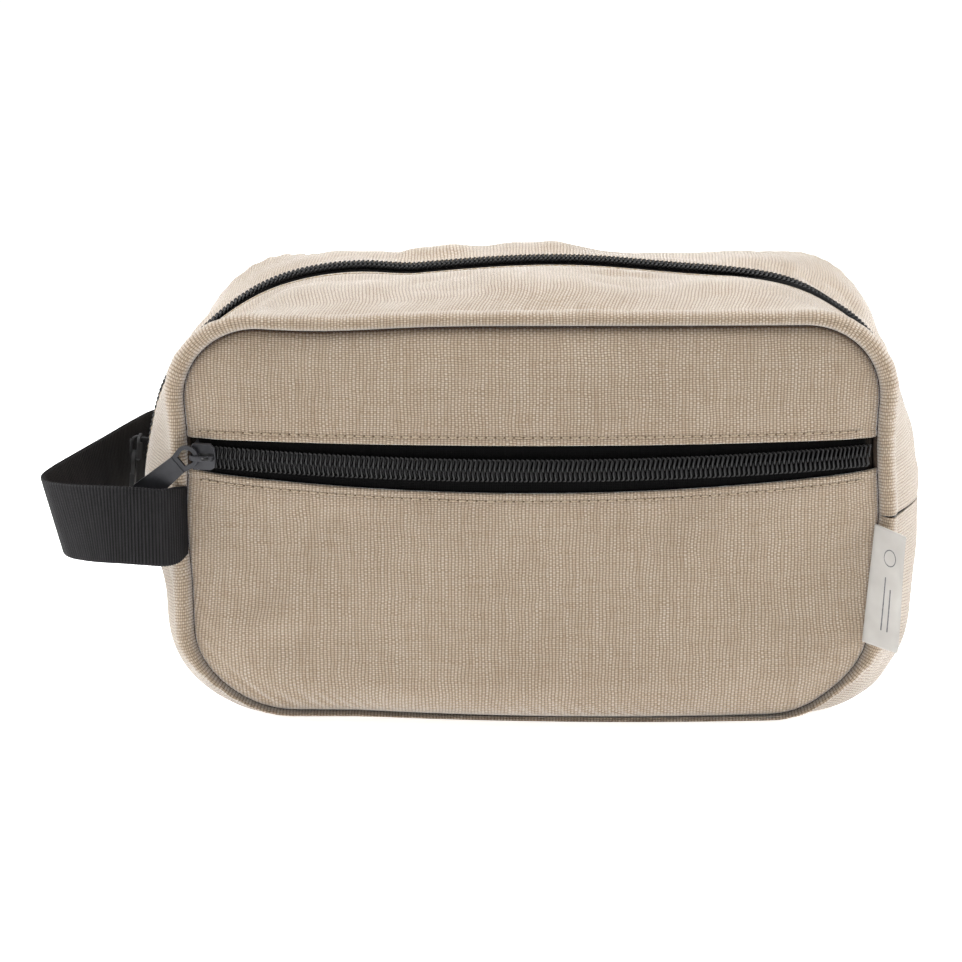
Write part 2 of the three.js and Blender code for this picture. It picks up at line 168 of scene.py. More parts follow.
def bump(centre, width, value):
    """1 at the centre, falling to nothing about a width away."""
    return np.exp(-((value - centre) / width) ** 2 * 2)


class Ripples:
    """Soft seeded noise in three dimensions: a sum of waves about one length long."""

    def __init__(self, seed, length, count=14):
        random = np.random.default_rng(seed)
        turn = random.normal(size=(count, 3))
        turn /= np.linalg.norm(turn, axis=1)[:, None]
        scale = random.uniform(0.6, 1.6, size=(count, 1))
        self.waves = turn * scale * 2 * math.pi / length
        self.phases = random.uniform(0, 2 * math.pi, size=count)

    def __call__(self, points):
        total = np.zeros(points.shape[:-1])
        for wave, phase in zip(self.waves, self.phases):
            total += np.sin(points @ wave + phase)
        return total / math.sqrt(len(self.phases))


class Corner:
    """A straight, a rounded corner and a straight, walked by share of its length."""

    def __init__(self, start, corner, end, radius):
        start, corner, end = (np.array(p, float) for p in (start, corner, end))
        back = (start - corner) / np.linalg.norm(start - corner)
        on = (end - corner) / np.linalg.norm(end - corner)
        half = math.acos(float(np.clip(back @ on, -1, 1))) / 2
        reach = radius / math.tan(half)
        middle = back + on
        self.centre = corner + middle / np.linalg.norm(middle) * radius / math.sin(half)
        self.start, self.end, self.radius = start, end, radius
        self.entry, self.leave = corner + back * reach, corner + on * reach
        from_angle = math.atan2(*(self.entry - self.centre)[::-1])
        to_angle = math.atan2(*(self.leave - self.centre)[::-1])
        turn = (to_angle - from_angle + math.pi) % (2 * math.pi) - math.pi
        self.angle, self.turn = from_angle, turn
        lengths = [np.linalg.norm(self.entry - start), abs(turn) * radius,
                   np.linalg.norm(end - self.leave)]
        self.stops = np.cumsum([0, *lengths])
        self.length = self.stops[-1]

    def at(self, share):
        run = np.clip(share, 0, 1)[..., None] * self.length
        first, second, third = (self.stops[i + 1] - self.stops[i] for i in range(3))
        line = self.start + (self.entry - self.start) * np.clip(run / max(first, 1e-9), 0, 1)
        angle = self.angle + self.turn * np.clip((run - self.stops[1]) / second, 0, 1)
        arc = self.centre + self.radius * np.concatenate([np.cos(angle), np.sin(angle)], -1)
        last = self.leave + (self.end - self.leave) * np.clip(
            (run - self.stops[2]) / max(third, 1e-9), 0, 1)
        return np.where(run < self.stops[1], line, np.where(run < self.stops[2], arc, last))


SEAM = {
    "upper": Corner((SEAM_SIDE, SIDE_SEAM_Z), (SEAM_SIDE, SEAM_TOP), (0, SEAM_TOP),
                    SEAM_TOP_RADIUS),
    "lower": Corner((SEAM_SIDE, SIDE_SEAM_Z), (SEAM_FOOT_SIDE, SEAM_FOOT), (0, SEAM_FOOT),
                    SEAM_FOOT_RADIUS)}
RIDGE = {
    "upper": Corner((RIDGE_SIDE, SIDE_SEAM_Z), (RIDGE_SIDE, RIDGE_TOP), (0, RIDGE_TOP),
                    RIDGE_TOP_RADIUS),
    "lower": Corner((RIDGE_SIDE, SIDE_SEAM_Z), (RIDGE_FOOT_SIDE, 0), (0, 0),
                    RIDGE_FOOT_RADIUS)}

_rise = np.linspace(0, 1, 1200)
_edge = np.concatenate([SEAM["lower"].at(_rise[::-1]), SEAM["upper"].at(_rise[1:])])
_bent = (_edge[:, 1] > SEAM_FOOT + 1e-6) & (_edge[:, 1] < SEAM_TOP - 1e-6)
OUTLINE = np.concatenate([_edge, _edge[::-1] * (-1, 1)])[::6]


def seam_half_width(z):
    return np.interp(z, _edge[_bent, 1], _edge[_bent, 0])


def seam_distance(x, z):
    """How far a point of a panel is from the seam, in its own plane."""
    flat = np.stack([x.ravel(), z.ravel()], -1)
    nearest = np.full(len(flat), 1e9)
    for i in range(len(OUTLINE)):
        a, b = OUTLINE[i - 1], OUTLINE[i]
        along = np.clip(((flat - a) @ (b - a)) / max((b - a) @ (b - a), 1e-9), 0, 1)
        gap = np.hypot(*(flat - a - along[:, None] * (b - a)).T)
        nearest = np.minimum(nearest, gap)
    return nearest.reshape(x.shape)


# ---- the bag's own shape ----


def shoulder(depth, flat):
    across = np.clip((np.abs(depth) / SEAM_DEPTH - flat) / (1 - flat), 0, 1)
    return np.sqrt(1 - across * across)


def flat_share(quarter, along):
    """The share of the depth over which a gusset's section is level."""
    if quarter == "upper":
        return TOP_FLAT + 0 * along
    return TOP_FLAT + (FOOT_FLAT - TOP_FLAT) * smooth(0, 0.6, along)


def tucked_point(quarter, turn, depth, inset=0.0):
    """A gusset point of the stuffed bag, whose section eases into the roll at the seam."""
    flat = flat_share(quarter, 1 - np.abs(turn))
    across = np.clip((np.abs(depth) / PIPE_START - flat) / (1 - flat), 0, 1)
    lean = 1 - 0.6 * across ** 3 - 0.4 * across ** 2 * (3 - 2 * across)
    same = flat + (1 - flat) * np.sqrt(np.maximum(0, 1 - lean ** 2))
    spot = gusset_point(quarter, turn, same * SEAM_DEPTH, inset)
    spot[..., 1] = depth
    return spot, lean


def gusset_point(quarter, turn, depth, inset=0.0):
    """Turn runs from -1 at the left side seam to 1 at the right one; inset goes inwards."""
    along = 1 - np.abs(turn)

    def outline(share):
        lean = shoulder(depth, flat_share(quarter, share))
        spot = SEAM[quarter].at(share)
        spot = spot + (RIDGE[quarter].at(share) - spot) * lean[..., None]
        if quarter == "upper":
            across = np.minimum(1, spot[..., 0] / RIDGE_SHOULDER)
            spot[..., 1] += RIDGE_CROWN * (1 - across ** 2) ** 2 * lean
        return spot

    tangent = (outline(np.minimum(1, along + TANGENT_STEP))
               - outline(np.maximum(0, along - TANGENT_STEP)))
    tangent /= np.linalg.norm(tangent, axis=-1)[..., None]
    outward = 1 if quarter == "upper" else -1
    spot = outline(along)
    if quarter == "upper":
        valley = ZIP_VALLEY * smooth(0.3, 0.6, turn) * smooth(0.76, 0.56, turn)
        inset = inset + valley * bump(0, 26, depth)
    x = spot[..., 0] - outward * tangent[..., 1] * inset
    z = spot[..., 1] + outward * tangent[..., 0] * inset
    side = np.where(turn < 0, -1, 1)
    return np.stack([side * x, depth + 0 * x, z], -1)


def rise(z, foot_power=12.0):
    """Share of a panel's crown at a height: full over most of it, and none at the seams."""
    up = 1 - np.clip((z - CROWN_Z) / (SEAM_TOP - CROWN_Z), 0, 1) ** 4
    down = 1 - np.clip((CROWN_Z - z) / (CROWN_Z - SEAM_FOOT), 0, 1) ** foot_power
    return np.where(z > CROWN_Z, up, down)


def crown(across, z):
    arc = np.sqrt(ARC_RADIUS ** 2 - (across * SEAM_SIDE) ** 2) - ARC_RADIUS + FRONT_CROWN
    return arc / FRONT_CROWN * rise(z) / rise(np.float64(FRONT_ZIP_Z))


def mouth(across):
    return FRONT_MOUTH + FRONT_SWELL * crown(across, np.float64(FRONT_ZIP_Z))


def zip_lift(turn):
    """How proud of the cloth the main zip lies: most over the top and the right shoulder."""
    shoulder_lift = SHOULDER_LIFT * smooth(0.35, 0.55, turn) * smooth(0.76, 0.62, turn)
    return ZIP_LIFT * smooth(0.75, 0.45, np.abs(turn)) + shoulder_lift


soft_lumps = Ripples(3, 70)
small_lumps = Ripples(11, 22)


def settle(points):
    """The unevenness of a soft bag: sags and leans that all its layers share."""
    out = np.array(points, float)
    x, y, z = out[..., 0], out[..., 1], out[..., 2]
    across = np.clip(np.abs(x) / SEAM_SIDE, 0, 1)
    inner = smooth(-50, -36, y)
    front = smooth(-5, -45, y)
    behind = smooth(10, 50, y) * smooth(105, 130, z)
    top = smooth(118, 132, z) * smooth(48, 30, np.abs(y))
    foot = smooth(14, 4, z) * np.clip(z / SEAM_FOOT, 0, 1) * smooth(20, 45, np.abs(y))
    low = smooth(64, 36, z) * inner
    corner = bump(26, 26, z) * (1 - inner) * smooth(0, -30, y)
    chain = smooth(108, 126, z) * bump(0, 26, y)

    # The pocket hangs, the seams dip at the top, and the base droops between the corners.
    sag = -2.7 * (1 - across ** 2) * bump(FRONT_ZIP_Z, 45, z) * front
    sag -= 1.8 * bump(-68, 40, x) * smooth(100, 130, z) * smooth(0, -40, y)
    sag += behind * (-3.2 * bump(28, 30, x) + 1.0 * bump(80, 30, x) - 0.6 * bump(-10, 40, x))
    sag += 0.6 * top * bump(18, 50, x)
    sag -= chain * (2.2 * smooth(-60, -40, x) * smooth(95, 65, x) + 1.0 * bump(-72, 30, x))
    sag -= 2.2 * np.clip(1 - ((x - 32) / 88) ** 2, 0, 1) * foot

    # The shoulders lean to the right, and the gusset tucks in behind the lower corners.
    lean = 4.2 * smooth(95, 130, z) * inner * (1 - 0.7 * smooth(-20, 60, x))
    lean += 2.0 * bump(88, 28, z) * smooth(-90, -115, x)
    lean += 2.0 * smooth(5, 38, y) * smooth(85, 118, z) * smooth(0, 80, x)
    lean -= 2.0 * bump(95, 30, z) * smooth(90, 115, x) * smooth(30, 0, y)
    lean += low * (5.2 * smooth(-60, -110, x) - 0.6 * smooth(60, 110, x))
    lean += corner * (2.4 * smooth(50, 100, x) - 2.6 * smooth(-50, -100, x))
    lean += 2.0 * smooth(95, 130, z) * smooth(5, 30, y) * smooth(-30, -90, x)
    out[..., 0] += lean
    out[..., 2] += sag
    return out


# ---- meshes ----


def grid_normals(points):
    across = np.gradient(points, axis=1)
    along = np.gradient(points, axis=0)
    normals = np.cross(across, along)
    lengths = np.linalg.norm(normals, axis=-1)[..., None]
    return normals / np.maximum(lengths, 1e-9)


def make_object(name, vertices, faces, uvs=None, groove=None):
    """A mesh object from millimetres; uvs hold one pair for each vertex."""
    mesh = bpy.data.meshes.new(name)
    mesh.from_pydata((np.asarray(vertices) * MM).tolist(), [], faces)
    if uvs is not None:
        layer = mesh.uv_layers.new(name="Cloth")
        loops = np.empty(len(mesh.loops), dtype=np.int32)
        mesh.loops.foreach_get("vertex_index", loops)
        layer.data.foreach_set("uv", np.asarray(uvs, float)[loops].ravel())
    # The colour attribute holds each point's share of painted seam shade.
    if groove is not None:
        layer = mesh.color_attributes.new("GrooveShade", "FLOAT_COLOR", "POINT")
        shade = np.repeat(np.clip(groove, 0, 1).ravel()[:, None], 4, axis=1)
        layer.data.foreach_set("color", shade.ravel())
    mesh.polygons.foreach_set("use_smooth", [True] * len(mesh.polygons))
    obj = bpy.data.objects.new(name, mesh)
    bpy.context.scene.collection.objects.link(obj)
    return obj


def grid_faces(rows, columns, flip=False, first=0):
    index = np.arange(rows * columns).reshape(rows, columns) + first
    a, b = index[:-1, :-1].ravel(), index[:-1, 1:].ravel()
    c, d = index[1:, 1:].ravel(), index[1:, :-1].ravel()
    quads = np.stack([a, d, c, b] if flip else [a, b, c, d], -1)
    return quads.tolist()


def tube_faces(index, flip=False):
    """Quads between the rings of a closed tube, and a cap on each of its ends."""
    rolled = np.roll(index, -1, axis=1)
    corners = [index[:-1], rolled[:-1], rolled[1:], index[1:]]
    if flip:
        corners = [corners[i] for i in (0, 3, 2, 1)]
    caps = [index[0], index[-1][::-1]] if flip else [index[0][::-1], index[-1]]
    return np.stack(corners, -1).reshape(-1, 4).tolist() + [cap.tolist() for cap in caps]


def add_modifier(obj, kind, **settings):
    modifier = obj.modifiers.new(kind.title(), kind)
    for key, value in settings.items():
        setattr(modifier, key, value)


def dress(obj, material, body, slot, *nodes):
    """Gives a piece its material and the body it rides on, and hides the CAD nodes it stands for.
    """
    obj.data.materials.clear()
    obj.data.materials.append(material)
    if body:
        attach(obj, body)
    if nodes:
        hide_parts(*nodes)


def outward(points):
    """Whether a grid's normals point away from the middle of the bag."""
    return float(np.sum(grid_normals(points) * (points - BAG_MIDDLE))) > 0


def raised(points, relief):
    """A grid moved along its outward normals, then settled."""
    normals = grid_normals(points)
    normals = normals if outward(points) else -normals
    return settle(points + normals * relief[..., None])


def cloth_sheet(name, points, flat, thickness, material, slot, *nodes, groove=None):
    """A grid of cloth, given its thickness inwards; groove is its painted seam shade, from 0 to
    1.
    """
    rows, columns = points.shape[:2]
    faces = grid_faces(rows, columns, flip=not outward(points))
    uvs = np.stack(flat, -1).reshape(-1, 2) / UV_SCALE
    obj = make_object(name, points.reshape(-1, 3), faces, uvs, groove)
    add_modifier(obj, "SOLIDIFY", thickness=thickness * MM, offset=-1.0)
    dress(obj, material, "bag", slot, *nodes)


def canvas_sheet(name, points, flat, groove, node):
    cloth_sheet(name, points, flat, CANVAS_THICKNESS, CANVAS, "canvas", node, groove=groove)


class Builder:
    """Gathers many small closed shapes into one mesh."""

    def __init__(self):
        self.vertices, self.faces, self.count = [], [], 0

    def tube(self, path, radius, reference, sides=6):
        """A capped tube along a path, its section turned by a reference direction."""
        path = np.asarray(path, float)
        tangent = np.gradient(path, axis=0)
        tangent /= np.linalg.norm(tangent, axis=1)[:, None]
        first = reference - np.sum(tangent * reference, 1)[:, None] * tangent
        first /= np.maximum(np.linalg.norm(first, axis=1)[:, None], 1e-9)
        second = np.cross(tangent, first)
        radius = np.broadcast_to(radius, len(path))[:, None, None]
        angle = np.linspace(0, 2 * math.pi, sides, endpoint=False)
        ring = (np.cos(angle)[None, :, None] * first[:, None]
                + np.sin(angle)[None, :, None] * second[:, None])
        spots = path[:, None] + ring * radius
        index = np.arange(len(path) * sides).reshape(-1, sides) + self.count
        self.faces += tube_faces(index)
        self.vertices.append(spots.reshape(-1, 3))
        self.count += len(path) * sides

    def points(self):
        return np.concatenate(self.vertices)


# ---- materials ----


class Nodes:
    """Short calls for building a material's node tree."""

    def __init__(self, name):
        self.material = bpy.data.materials.new(name)
        self.material.use_nodes = True
        self.tree = self.material.node_tree
        self.shader = self.tree.nodes["Principled BSDF"]

    def node(self, kind, inputs=None, **settings):
        made = self.tree.nodes.new(kind)
        for key, value in settings.items():
            setattr(made, key, value)
        for key, value in (inputs or {}).items():
            self.feed(made.inputs[key], value)
        return made

    def feed(self, socket, value):
        if isinstance(value, bpy.types.NodeSocket):
            self.tree.links.new(value, socket)
        elif isinstance(value, bpy.types.Node):
            self.tree.links.new(value.outputs[0], socket)
        else:
            socket.default_value = value

    def math(self, operation, *values):
        made = self.tree.nodes.new("ShaderNodeMath")
        made.operation = operation
        for socket, value in zip(made.inputs, values):
            self.feed(socket, value)
        return made.outputs[0]

    def times(self, first, second):
        return self.math("MULTIPLY", first, second)

    def plus(self, first, second):
        return self.math("ADD", first, second)

    def minus(self, first, second):
        return self.math("SUBTRACT", first, second)

    def noise(self, vector, scale, detail=2.0, roughness=0.5):
        made = self.node("ShaderNodeTexNoise", {"Vector": vector, "Scale": scale,
                                                "Detail": detail, "Roughness": roughness})
        return made.outputs["Fac"]

    def ramp(self, value, stops):
        made = self.node("ShaderNodeValToRGB", {"Fac": value})
        ramp = made.color_ramp
        while len(ramp.elements) < len(stops):
            ramp.elements.new(0.5)
        for element, (place, colour) in zip(ramp.elements, stops):
            element.position = place
            element.color = (*colour, 1)
        return made.outputs["Color"]

    def mix(self, share, first, second, blend="MIX"):
        made = self.tree.nodes.new("ShaderNodeMix")
        made.data_type = "RGBA"
        made.blend_type = blend
        for name, value in (("Factor_Float", share), ("A_Color", first), ("B_Color", second)):
            socket = next(s for s in made.inputs if s.identifier == name)
            if isinstance(value, tuple) and len(value) == 3:
                value = (*value, 1)
            self.feed(socket, value)
        return next(s for s in made.outputs if s.identifier == "Result_Color")

    def finish(self, colour, roughness, height=None, distance=0.0002, strength=1.0, **sockets):
        self.feed(self.shader.inputs["Base Color"],
                  (*colour, 1) if isinstance(colour, tuple) else colour)
        self.feed(self.shader.inputs["Roughness"], roughness)
        if height is not None:
            made = self.node("ShaderNodeBump", {"Height": height, "Distance": distance,
                                                "Strength": strength})
            self.feed(self.shader.inputs["Normal"], made)
        for key, value in sockets.items():
            self.feed(self.shader.inputs[key.replace("_", " ")], value)
        return self.material


def srgb(red, green, blue):
    """Linear colour from display values between 0 and 255."""
    return tuple(((v / 255 + 0.055) / 1.055) ** 2.4 if v > 10 else v / 255 / 12.92
                 for v in (red, green, blue))


def cloth_coordinates(nodes):
    """The piece's own cloth plane in millimetres: across and along."""
    spot = nodes.node("ShaderNodeUVMap", uv_map="Cloth")
    split = nodes.node("ShaderNodeSeparateXYZ", {"Vector": spot.outputs["UV"]})
    wide = nodes.times(split.outputs[0], UV_SCALE)
    high = nodes.times(split.outputs[1], UV_SCALE)
    return spot.outputs["UV"], wide, high


def plain_weave(nodes, wide, high, pitch, row_pitch=None, weft_height=1.0):
    """Height of a plain weave, and which yarn is on top, from cloth millimetres."""
    column = nodes.times(wide, 1 / pitch)
    row = nodes.times(high, 1 / (row_pitch or pitch))
    column_index = nodes.math("FLOOR", column)
    row_index = nodes.math("FLOOR", row)
    parity = nodes.math("PINGPONG", nodes.plus(column_index, row_index), 1.0)

    def dome(value, power):
        part = nodes.math("FRACT", value)
        wave = nodes.math("SINE", nodes.times(part, math.pi))
        return nodes.math("POWER", wave, power)

    warp = nodes.times(dome(column, 0.8), dome(row, 0.45))
    weft = nodes.times(dome(row, 0.8), dome(column, 0.45))
    over = nodes.times(warp, parity)
    low = nodes.times(weft, weft_height)
    under = nodes.times(low, nodes.minus(1.0, parity))
    return nodes.plus(over, under), parity, column_index, row_index


def yarn_tone(nodes, index, run, seed):
    """Light and dark stretches along each yarn."""
    place = nodes.node("ShaderNodeCombineXYZ", {
        0: nodes.times(index, 7.31), 1: nodes.times(run, 0.09), 2: seed})
    return nodes.noise(place.outputs[0], 1.0, 3.0, 0.6)


def canvas_material():
    nodes = Nodes("canvas")
    uv, wide, high = cloth_coordinates(nodes)
    wander = nodes.noise(uv, 9.0, 2.0)
    offset = nodes.times(nodes.minus(wander, 0.5), 1.6)
    wide_bent = nodes.plus(wide, offset)
    high_bent = nodes.minus(high, offset)
    height, parity, column, row = plain_weave(nodes, wide_bent, high_bent, YARN, ROW, 0.7)
    warp_tone = yarn_tone(nodes, column, high, 1.7)
    weft_tone = yarn_tone(nodes, row, wide, 9.2)
    tone = nodes.plus(nodes.times(warp_tone, parity),
                      nodes.times(weft_tone, nodes.minus(1.0, parity)))
    yarn = nodes.ramp(tone, [(0.25, srgb(172, 153, 131)), (0.5, srgb(194, 178, 158)),
                             (0.8, srgb(208, 196, 180))])
    # Painted shade: the gaps between the yarns are coloured darker than the yarns.
    gap = nodes.math("SMOOTH_MIN", nodes.times(height, 1.25), 1.0, 0.3)
    colour = nodes.mix(gap, srgb(112, 93, 73), yarn)
    cloud = nodes.noise(uv, 2.2, 3.0, 0.55)
    shade = nodes.ramp(cloud, [(0.3, (0.93, 0.92, 0.91)), (0.7, (1.0, 1.0, 1.0))])
    colour = nodes.mix(1.0, colour, shade, "MULTIPLY")
    groove = nodes.node("ShaderNodeAttribute", attribute_name="GrooveShade").outputs["Fac"]
    # Painted shade: cloth in the seam grooves and along the side seam is darkened towards brown.
    colour = nodes.mix(groove, colour, srgb(78, 52, 32))
    fuzz = nodes.noise(uv, 420.0, 2.0)
    relief = nodes.plus(height, nodes.times(fuzz, 0.25))
    return nodes.finish(colour, 0.93, relief, 0.00028, 0.85, Sheen_Weight=1.0,
                        Sheen_Roughness=0.35, Specular_IOR_Level=0.2)


def dark_cloth_material(name, pitch, light, dark, depth=0.00012):
    """A fine dark weave, for tapes, bindings and linings."""
    nodes = Nodes(name)
    uv, wide, high = cloth_coordinates(nodes)
    height, _, column, row = plain_weave(nodes, wide, high, pitch)
    tone = yarn_tone(nodes, column, high, 4.4)
    yarn = nodes.ramp(tone, [(0.3, dark), (0.7, light)])
    # Painted shade: the gaps between the yarns take the dark colour.
    colour = nodes.mix(height, dark, yarn)
    return nodes.finish(colour, 0.8, height, depth, 0.8, Sheen_Weight=0.02,
                        Specular_IOR_Level=0.07)


def speckled_material(name, scale, dark, light, roughness, wear=0.0, relief=0.00002,
                      strength=0.4, **sockets):
    """A fine-grained finish; wear is how much rougher its lighter specks are."""
    nodes = Nodes(name)
    place = nodes.node("ShaderNodeTexCoord").outputs["Object"]
    speck = nodes.noise(place, scale, 2.0)
    colour = nodes.ramp(speck, [(0.3, srgb(*dark)), (0.7, srgb(*light))])
    rough = nodes.math("MULTIPLY_ADD", speck, wear, roughness)
    return nodes.finish(colour, rough, speck, relief, strength, **sockets)


def metal_material(name, low, high, roughness=0.32, metallic=0.35):
    nodes = Nodes(name)
    place = nodes.node("ShaderNodeTexCoord").outputs["Object"]
    grain = nodes.noise(place, 2600.0, 2.0)
    wear = nodes.noise(place, 180.0, 4.0, 0.6)
    colour = nodes.ramp(wear, [(0.3, low), (0.7, high)])
    rough = nodes.math("MULTIPLY_ADD", wear, 0.18, roughness)
    return nodes.finish(colour, rough, grain, 0.00001, 0.5, Metallic=metallic)


def webbing_material():
    """Ribs across the webbing's length, each one a row of fine crossing yarns."""
    nodes = Nodes("webbing")
    uv, wide, high = cloth_coordinates(nodes)
    height, _, column, row = plain_weave(nodes, wide, high, 0.5)
    rib = nodes.math("ABSOLUTE", nodes.math("SINE", nodes.times(wide, math.pi / RIB_PITCH)))
    # Painted highlight and shade: the rib crests are coloured lighter than the hollows between
    # them.
    tone = nodes.times(nodes.plus(yarn_tone(nodes, column, high, 2.4), rib), 0.5)
    colour = nodes.ramp(tone, [(0.32, srgb(2, 2, 2)), (0.78, srgb(38, 37, 39))])
    relief = nodes.plus(nodes.times(height, 0.5), rib)
    return nodes.finish(colour, 0.6, relief, 0.00025, 0.9, Specular_IOR_Level=0.16)


def label_material():
    nodes = Nodes("label")
    uv, wide, high = cloth_coordinates(nodes)
    height, _, column, row = plain_weave(nodes, wide, high, 0.32)
    cloud = nodes.noise(uv, 12.0, 2.0)
    colour = nodes.ramp(cloud, [(0.3, srgb(176, 172, 167)), (0.7, srgb(190, 187, 182))])
    return nodes.finish(colour, 0.65, height, 0.00005, 0.6, Sheen_Weight=0.3)


CANVAS = canvas_material()
TAPE_CLOTH = dark_cloth_material("zip_tape", 0.55, srgb(14, 13, 14), srgb(5, 5, 5))
BINDING_CLOTH = dark_cloth_material("binding", 0.7, srgb(38, 38, 40), srgb(18, 18, 19))
LINING_CLOTH = dark_cloth_material("lining", 0.4, srgb(58, 52, 46), srgb(32, 28, 25))
COIL = speckled_material("zip_coil", 900.0, (10, 10, 10), (17, 16, 18), 0.34, 0.15,
                         Specular_IOR_Level=0.42)
METAL = metal_material("slider_enamel", srgb(38, 38, 41), srgb(52, 52, 56))
# The main slider and pull: a darker copy of the slider enamel, partly a guessed black enamel and
# partly painted shade for where they sit behind the carry loop.
BLACK_ENAMEL_AND_SHADE = metal_material("black_enamel_and_painted_shade", srgb(16, 16, 17), srgb(24, 24, 26), 0.6, 0.0)
WEBBING = webbing_material()
THREAD = speckled_material("thread", 1500.0, (146, 128, 104), (184, 167, 143), 0.75,
                           relief=0.00005, strength=0.7, Sheen_Weight=0.2)
# Painted shade: dark tubes at the needle holes stand in for the shade inside each hole.
NEEDLE_HOLE_SHADE = speckled_material("needle_hole_shade", 1500.0, (86, 70, 54), (110, 90, 70), 0.9)
# Painted shade: the seam allowance is canvas, coloured dark for the shade deep in the seam
# groove.
SEAM_ALLOWANCE_SHADE = speckled_material("seam_allowance_painted_shade", 1100.0, (40, 31, 24), (72, 57, 44), 0.9,
                             relief=0.0001, strength=0.8)
LABEL_CLOTH = label_material()
LABEL_PRINT = speckled_material("label_print", 1400.0, (88, 88, 90), (120, 120, 122), 0.7)

# ---- canvas pieces ----


def quarter_round(distance, radius):
    """How far a rolled edge has dropped at a distance from it."""
    inner = np.clip(radius - distance, 0, radius)
    return radius - np.sqrt(radius ** 2 - inner ** 2)


def stations(low, high, step, low_edge=False, high_edge=False):
    """Places from low to high, crowding together where an edge asks for it."""
    length = high - low
    start = EDGE_STEPS[-1] if low_edge else 0
    end = EDGE_STEPS[-1] if high_edge else 0
    count = max(2, int(round((length - start - end) / step)))
    middle = np.linspace(start, length - end, count + 1)
    parts = [EDGE_STEPS[:-1]] if low_edge else []
    parts.append(middle)
    if high_edge:
        parts.append(length - EDGE_STEPS[-2::-1])
    return low + np.concatenate(parts)


def stitched(distance, run):
    """The dent of a stitch row beside a folded edge, deepest where the thread goes in."""
    valley = bump(STITCH_BACK, 0.8, distance)
    holes = 0.5 + 0.5 * np.cos(2 * math.pi * run / STITCH_PITCH)
    hump = bump(STITCH_BACK * 0.45, 1.1, distance)
    return -0.22 * valley * (0.45 + 0.55 * holes) + 0.12 * hump


def pillow(distance):
    """How far stuffed cloth falls away as it nears a seam."""
    return 1.1 * smooth(15, 0, distance) ** 1.5


def puckers(distance, run, seed):
    """Short gathers that run into a seam, with uneven spacing."""
    wobble = Ripples(seed, 34)(np.stack([run, 0 * run, 0 * run], -1))
    wave = np.sin(2 * math.pi * run / PUCKER + 2.2 * wobble)
    strength = 0.55 + 0.45 * np.sin(run / 17.0 + seed)
    return 0.26 * wave * strength * smooth(0.6, 2.2, distance) * smooth(12, 2.5, distance)


def seam_shade(distance):
    """How much painted shade darkens cloth in a seam: nearly all at the stitching, and a soft
    edge beyond.
    """
    return 0.7 * smooth(0.8, 0.3, distance) + 0.12 * smooth(4.0, 0.8, distance)


def pucker_folds(run, distance, seed):
    """Longer soft gathers that start at a stitched zip and die out across the cloth."""
    wobble = Ripples(seed, 60)(np.stack([run, 0 * run, 0.6 * distance], -1))
    return np.sin(2 * math.pi * run / 17.0 + 2.5 * wobble) * smooth(0, 4, distance) \
        * smooth(26, 5, distance) * (0.5 + 0.5 * np.sin(run / 23.0 + seed))


def panel_grid(across, heights):
    """Columns of constant share of the width, and rows of constant height."""
    share, z = np.meshgrid(across, heights)
    return share, z, share * seam_half_width(z)


def edge_shares(step):
    """Column places from -1 to 1 that crowd together at both side seams."""
    return stations(-SEAM_SIDE, SEAM_SIDE, step, True, True) / SEAM_SIDE


def front_panel(name, node, upper):
    across = edge_shares(0.75)
    high_side = 1 if upper else -1
    reach = SEAM_TOP - FRONT_ZIP_Z if upper else FRONT_ZIP_Z - SEAM_FOOT
    share, run = np.meshgrid(across, stations(0, reach, 1.5, True, True))
    opening = mouth(share)
    fold_gap = run * (reach - opening) / reach
    z = FRONT_ZIP_Z + high_side * (opening + fold_gap)
    x = share * seam_half_width(z)
    proud = FRONT_CROWN * crown(share, z)
    rim = seam_distance(x, z)
    y = -RIM - proud + quarter_round(rim, ROLL_RADIUS) + quarter_round(fold_gap, FOLD_RADIUS)
    y = y + pillow(rim)
    points = np.stack([x, y, z], -1)
    relief = puckers(rim, x + z, 5 if upper else 6)
    relief += 0.22 * small_lumps(points) * smooth(3, 14, rim)
    relief += 0.35 * pucker_folds(x, fold_gap, 31) * smooth(2, 8, rim)
    relief += (0.45 if upper else 0.7) * soft_lumps(points) * smooth(3, 25, rim)
    if not upper:
        dent = bump(-78, 16, x + 0.5 * (z - 34)) * bump(33, 14, z)
        relief -= 1.3 * dent * np.sin((x * 0.8 - z) / 5.0)
    relief = relief * smooth(0.8, 4, rim) * smooth(4, 13, fold_gap) + stitched(fold_gap, x)
    canvas_sheet(name, raised(points, relief), (x, z), seam_shade(rim), node)


def back_panel():
    across = edge_shares(1.5)
    heights = stations(SEAM_FOOT, SEAM_TOP, 1.8, True, True)
    share, z, x = panel_grid(across, heights)
    rim = seam_distance(x, z)
    y = RIM + BACK_CROWN * crown(share, z) - quarter_round(rim, ROLL_RADIUS)
    points = np.stack([x, y, z], -1)
    relief = puckers(rim, x + z, 8) + 0.25 * small_lumps(points) * smooth(3, 14, rim)
    relief += 0.7 * soft_lumps(points) * smooth(3, 25, rim)
    canvas_sheet("back_canvas", raised(points, relief), (x, z), seam_shade(rim), "back_panel")


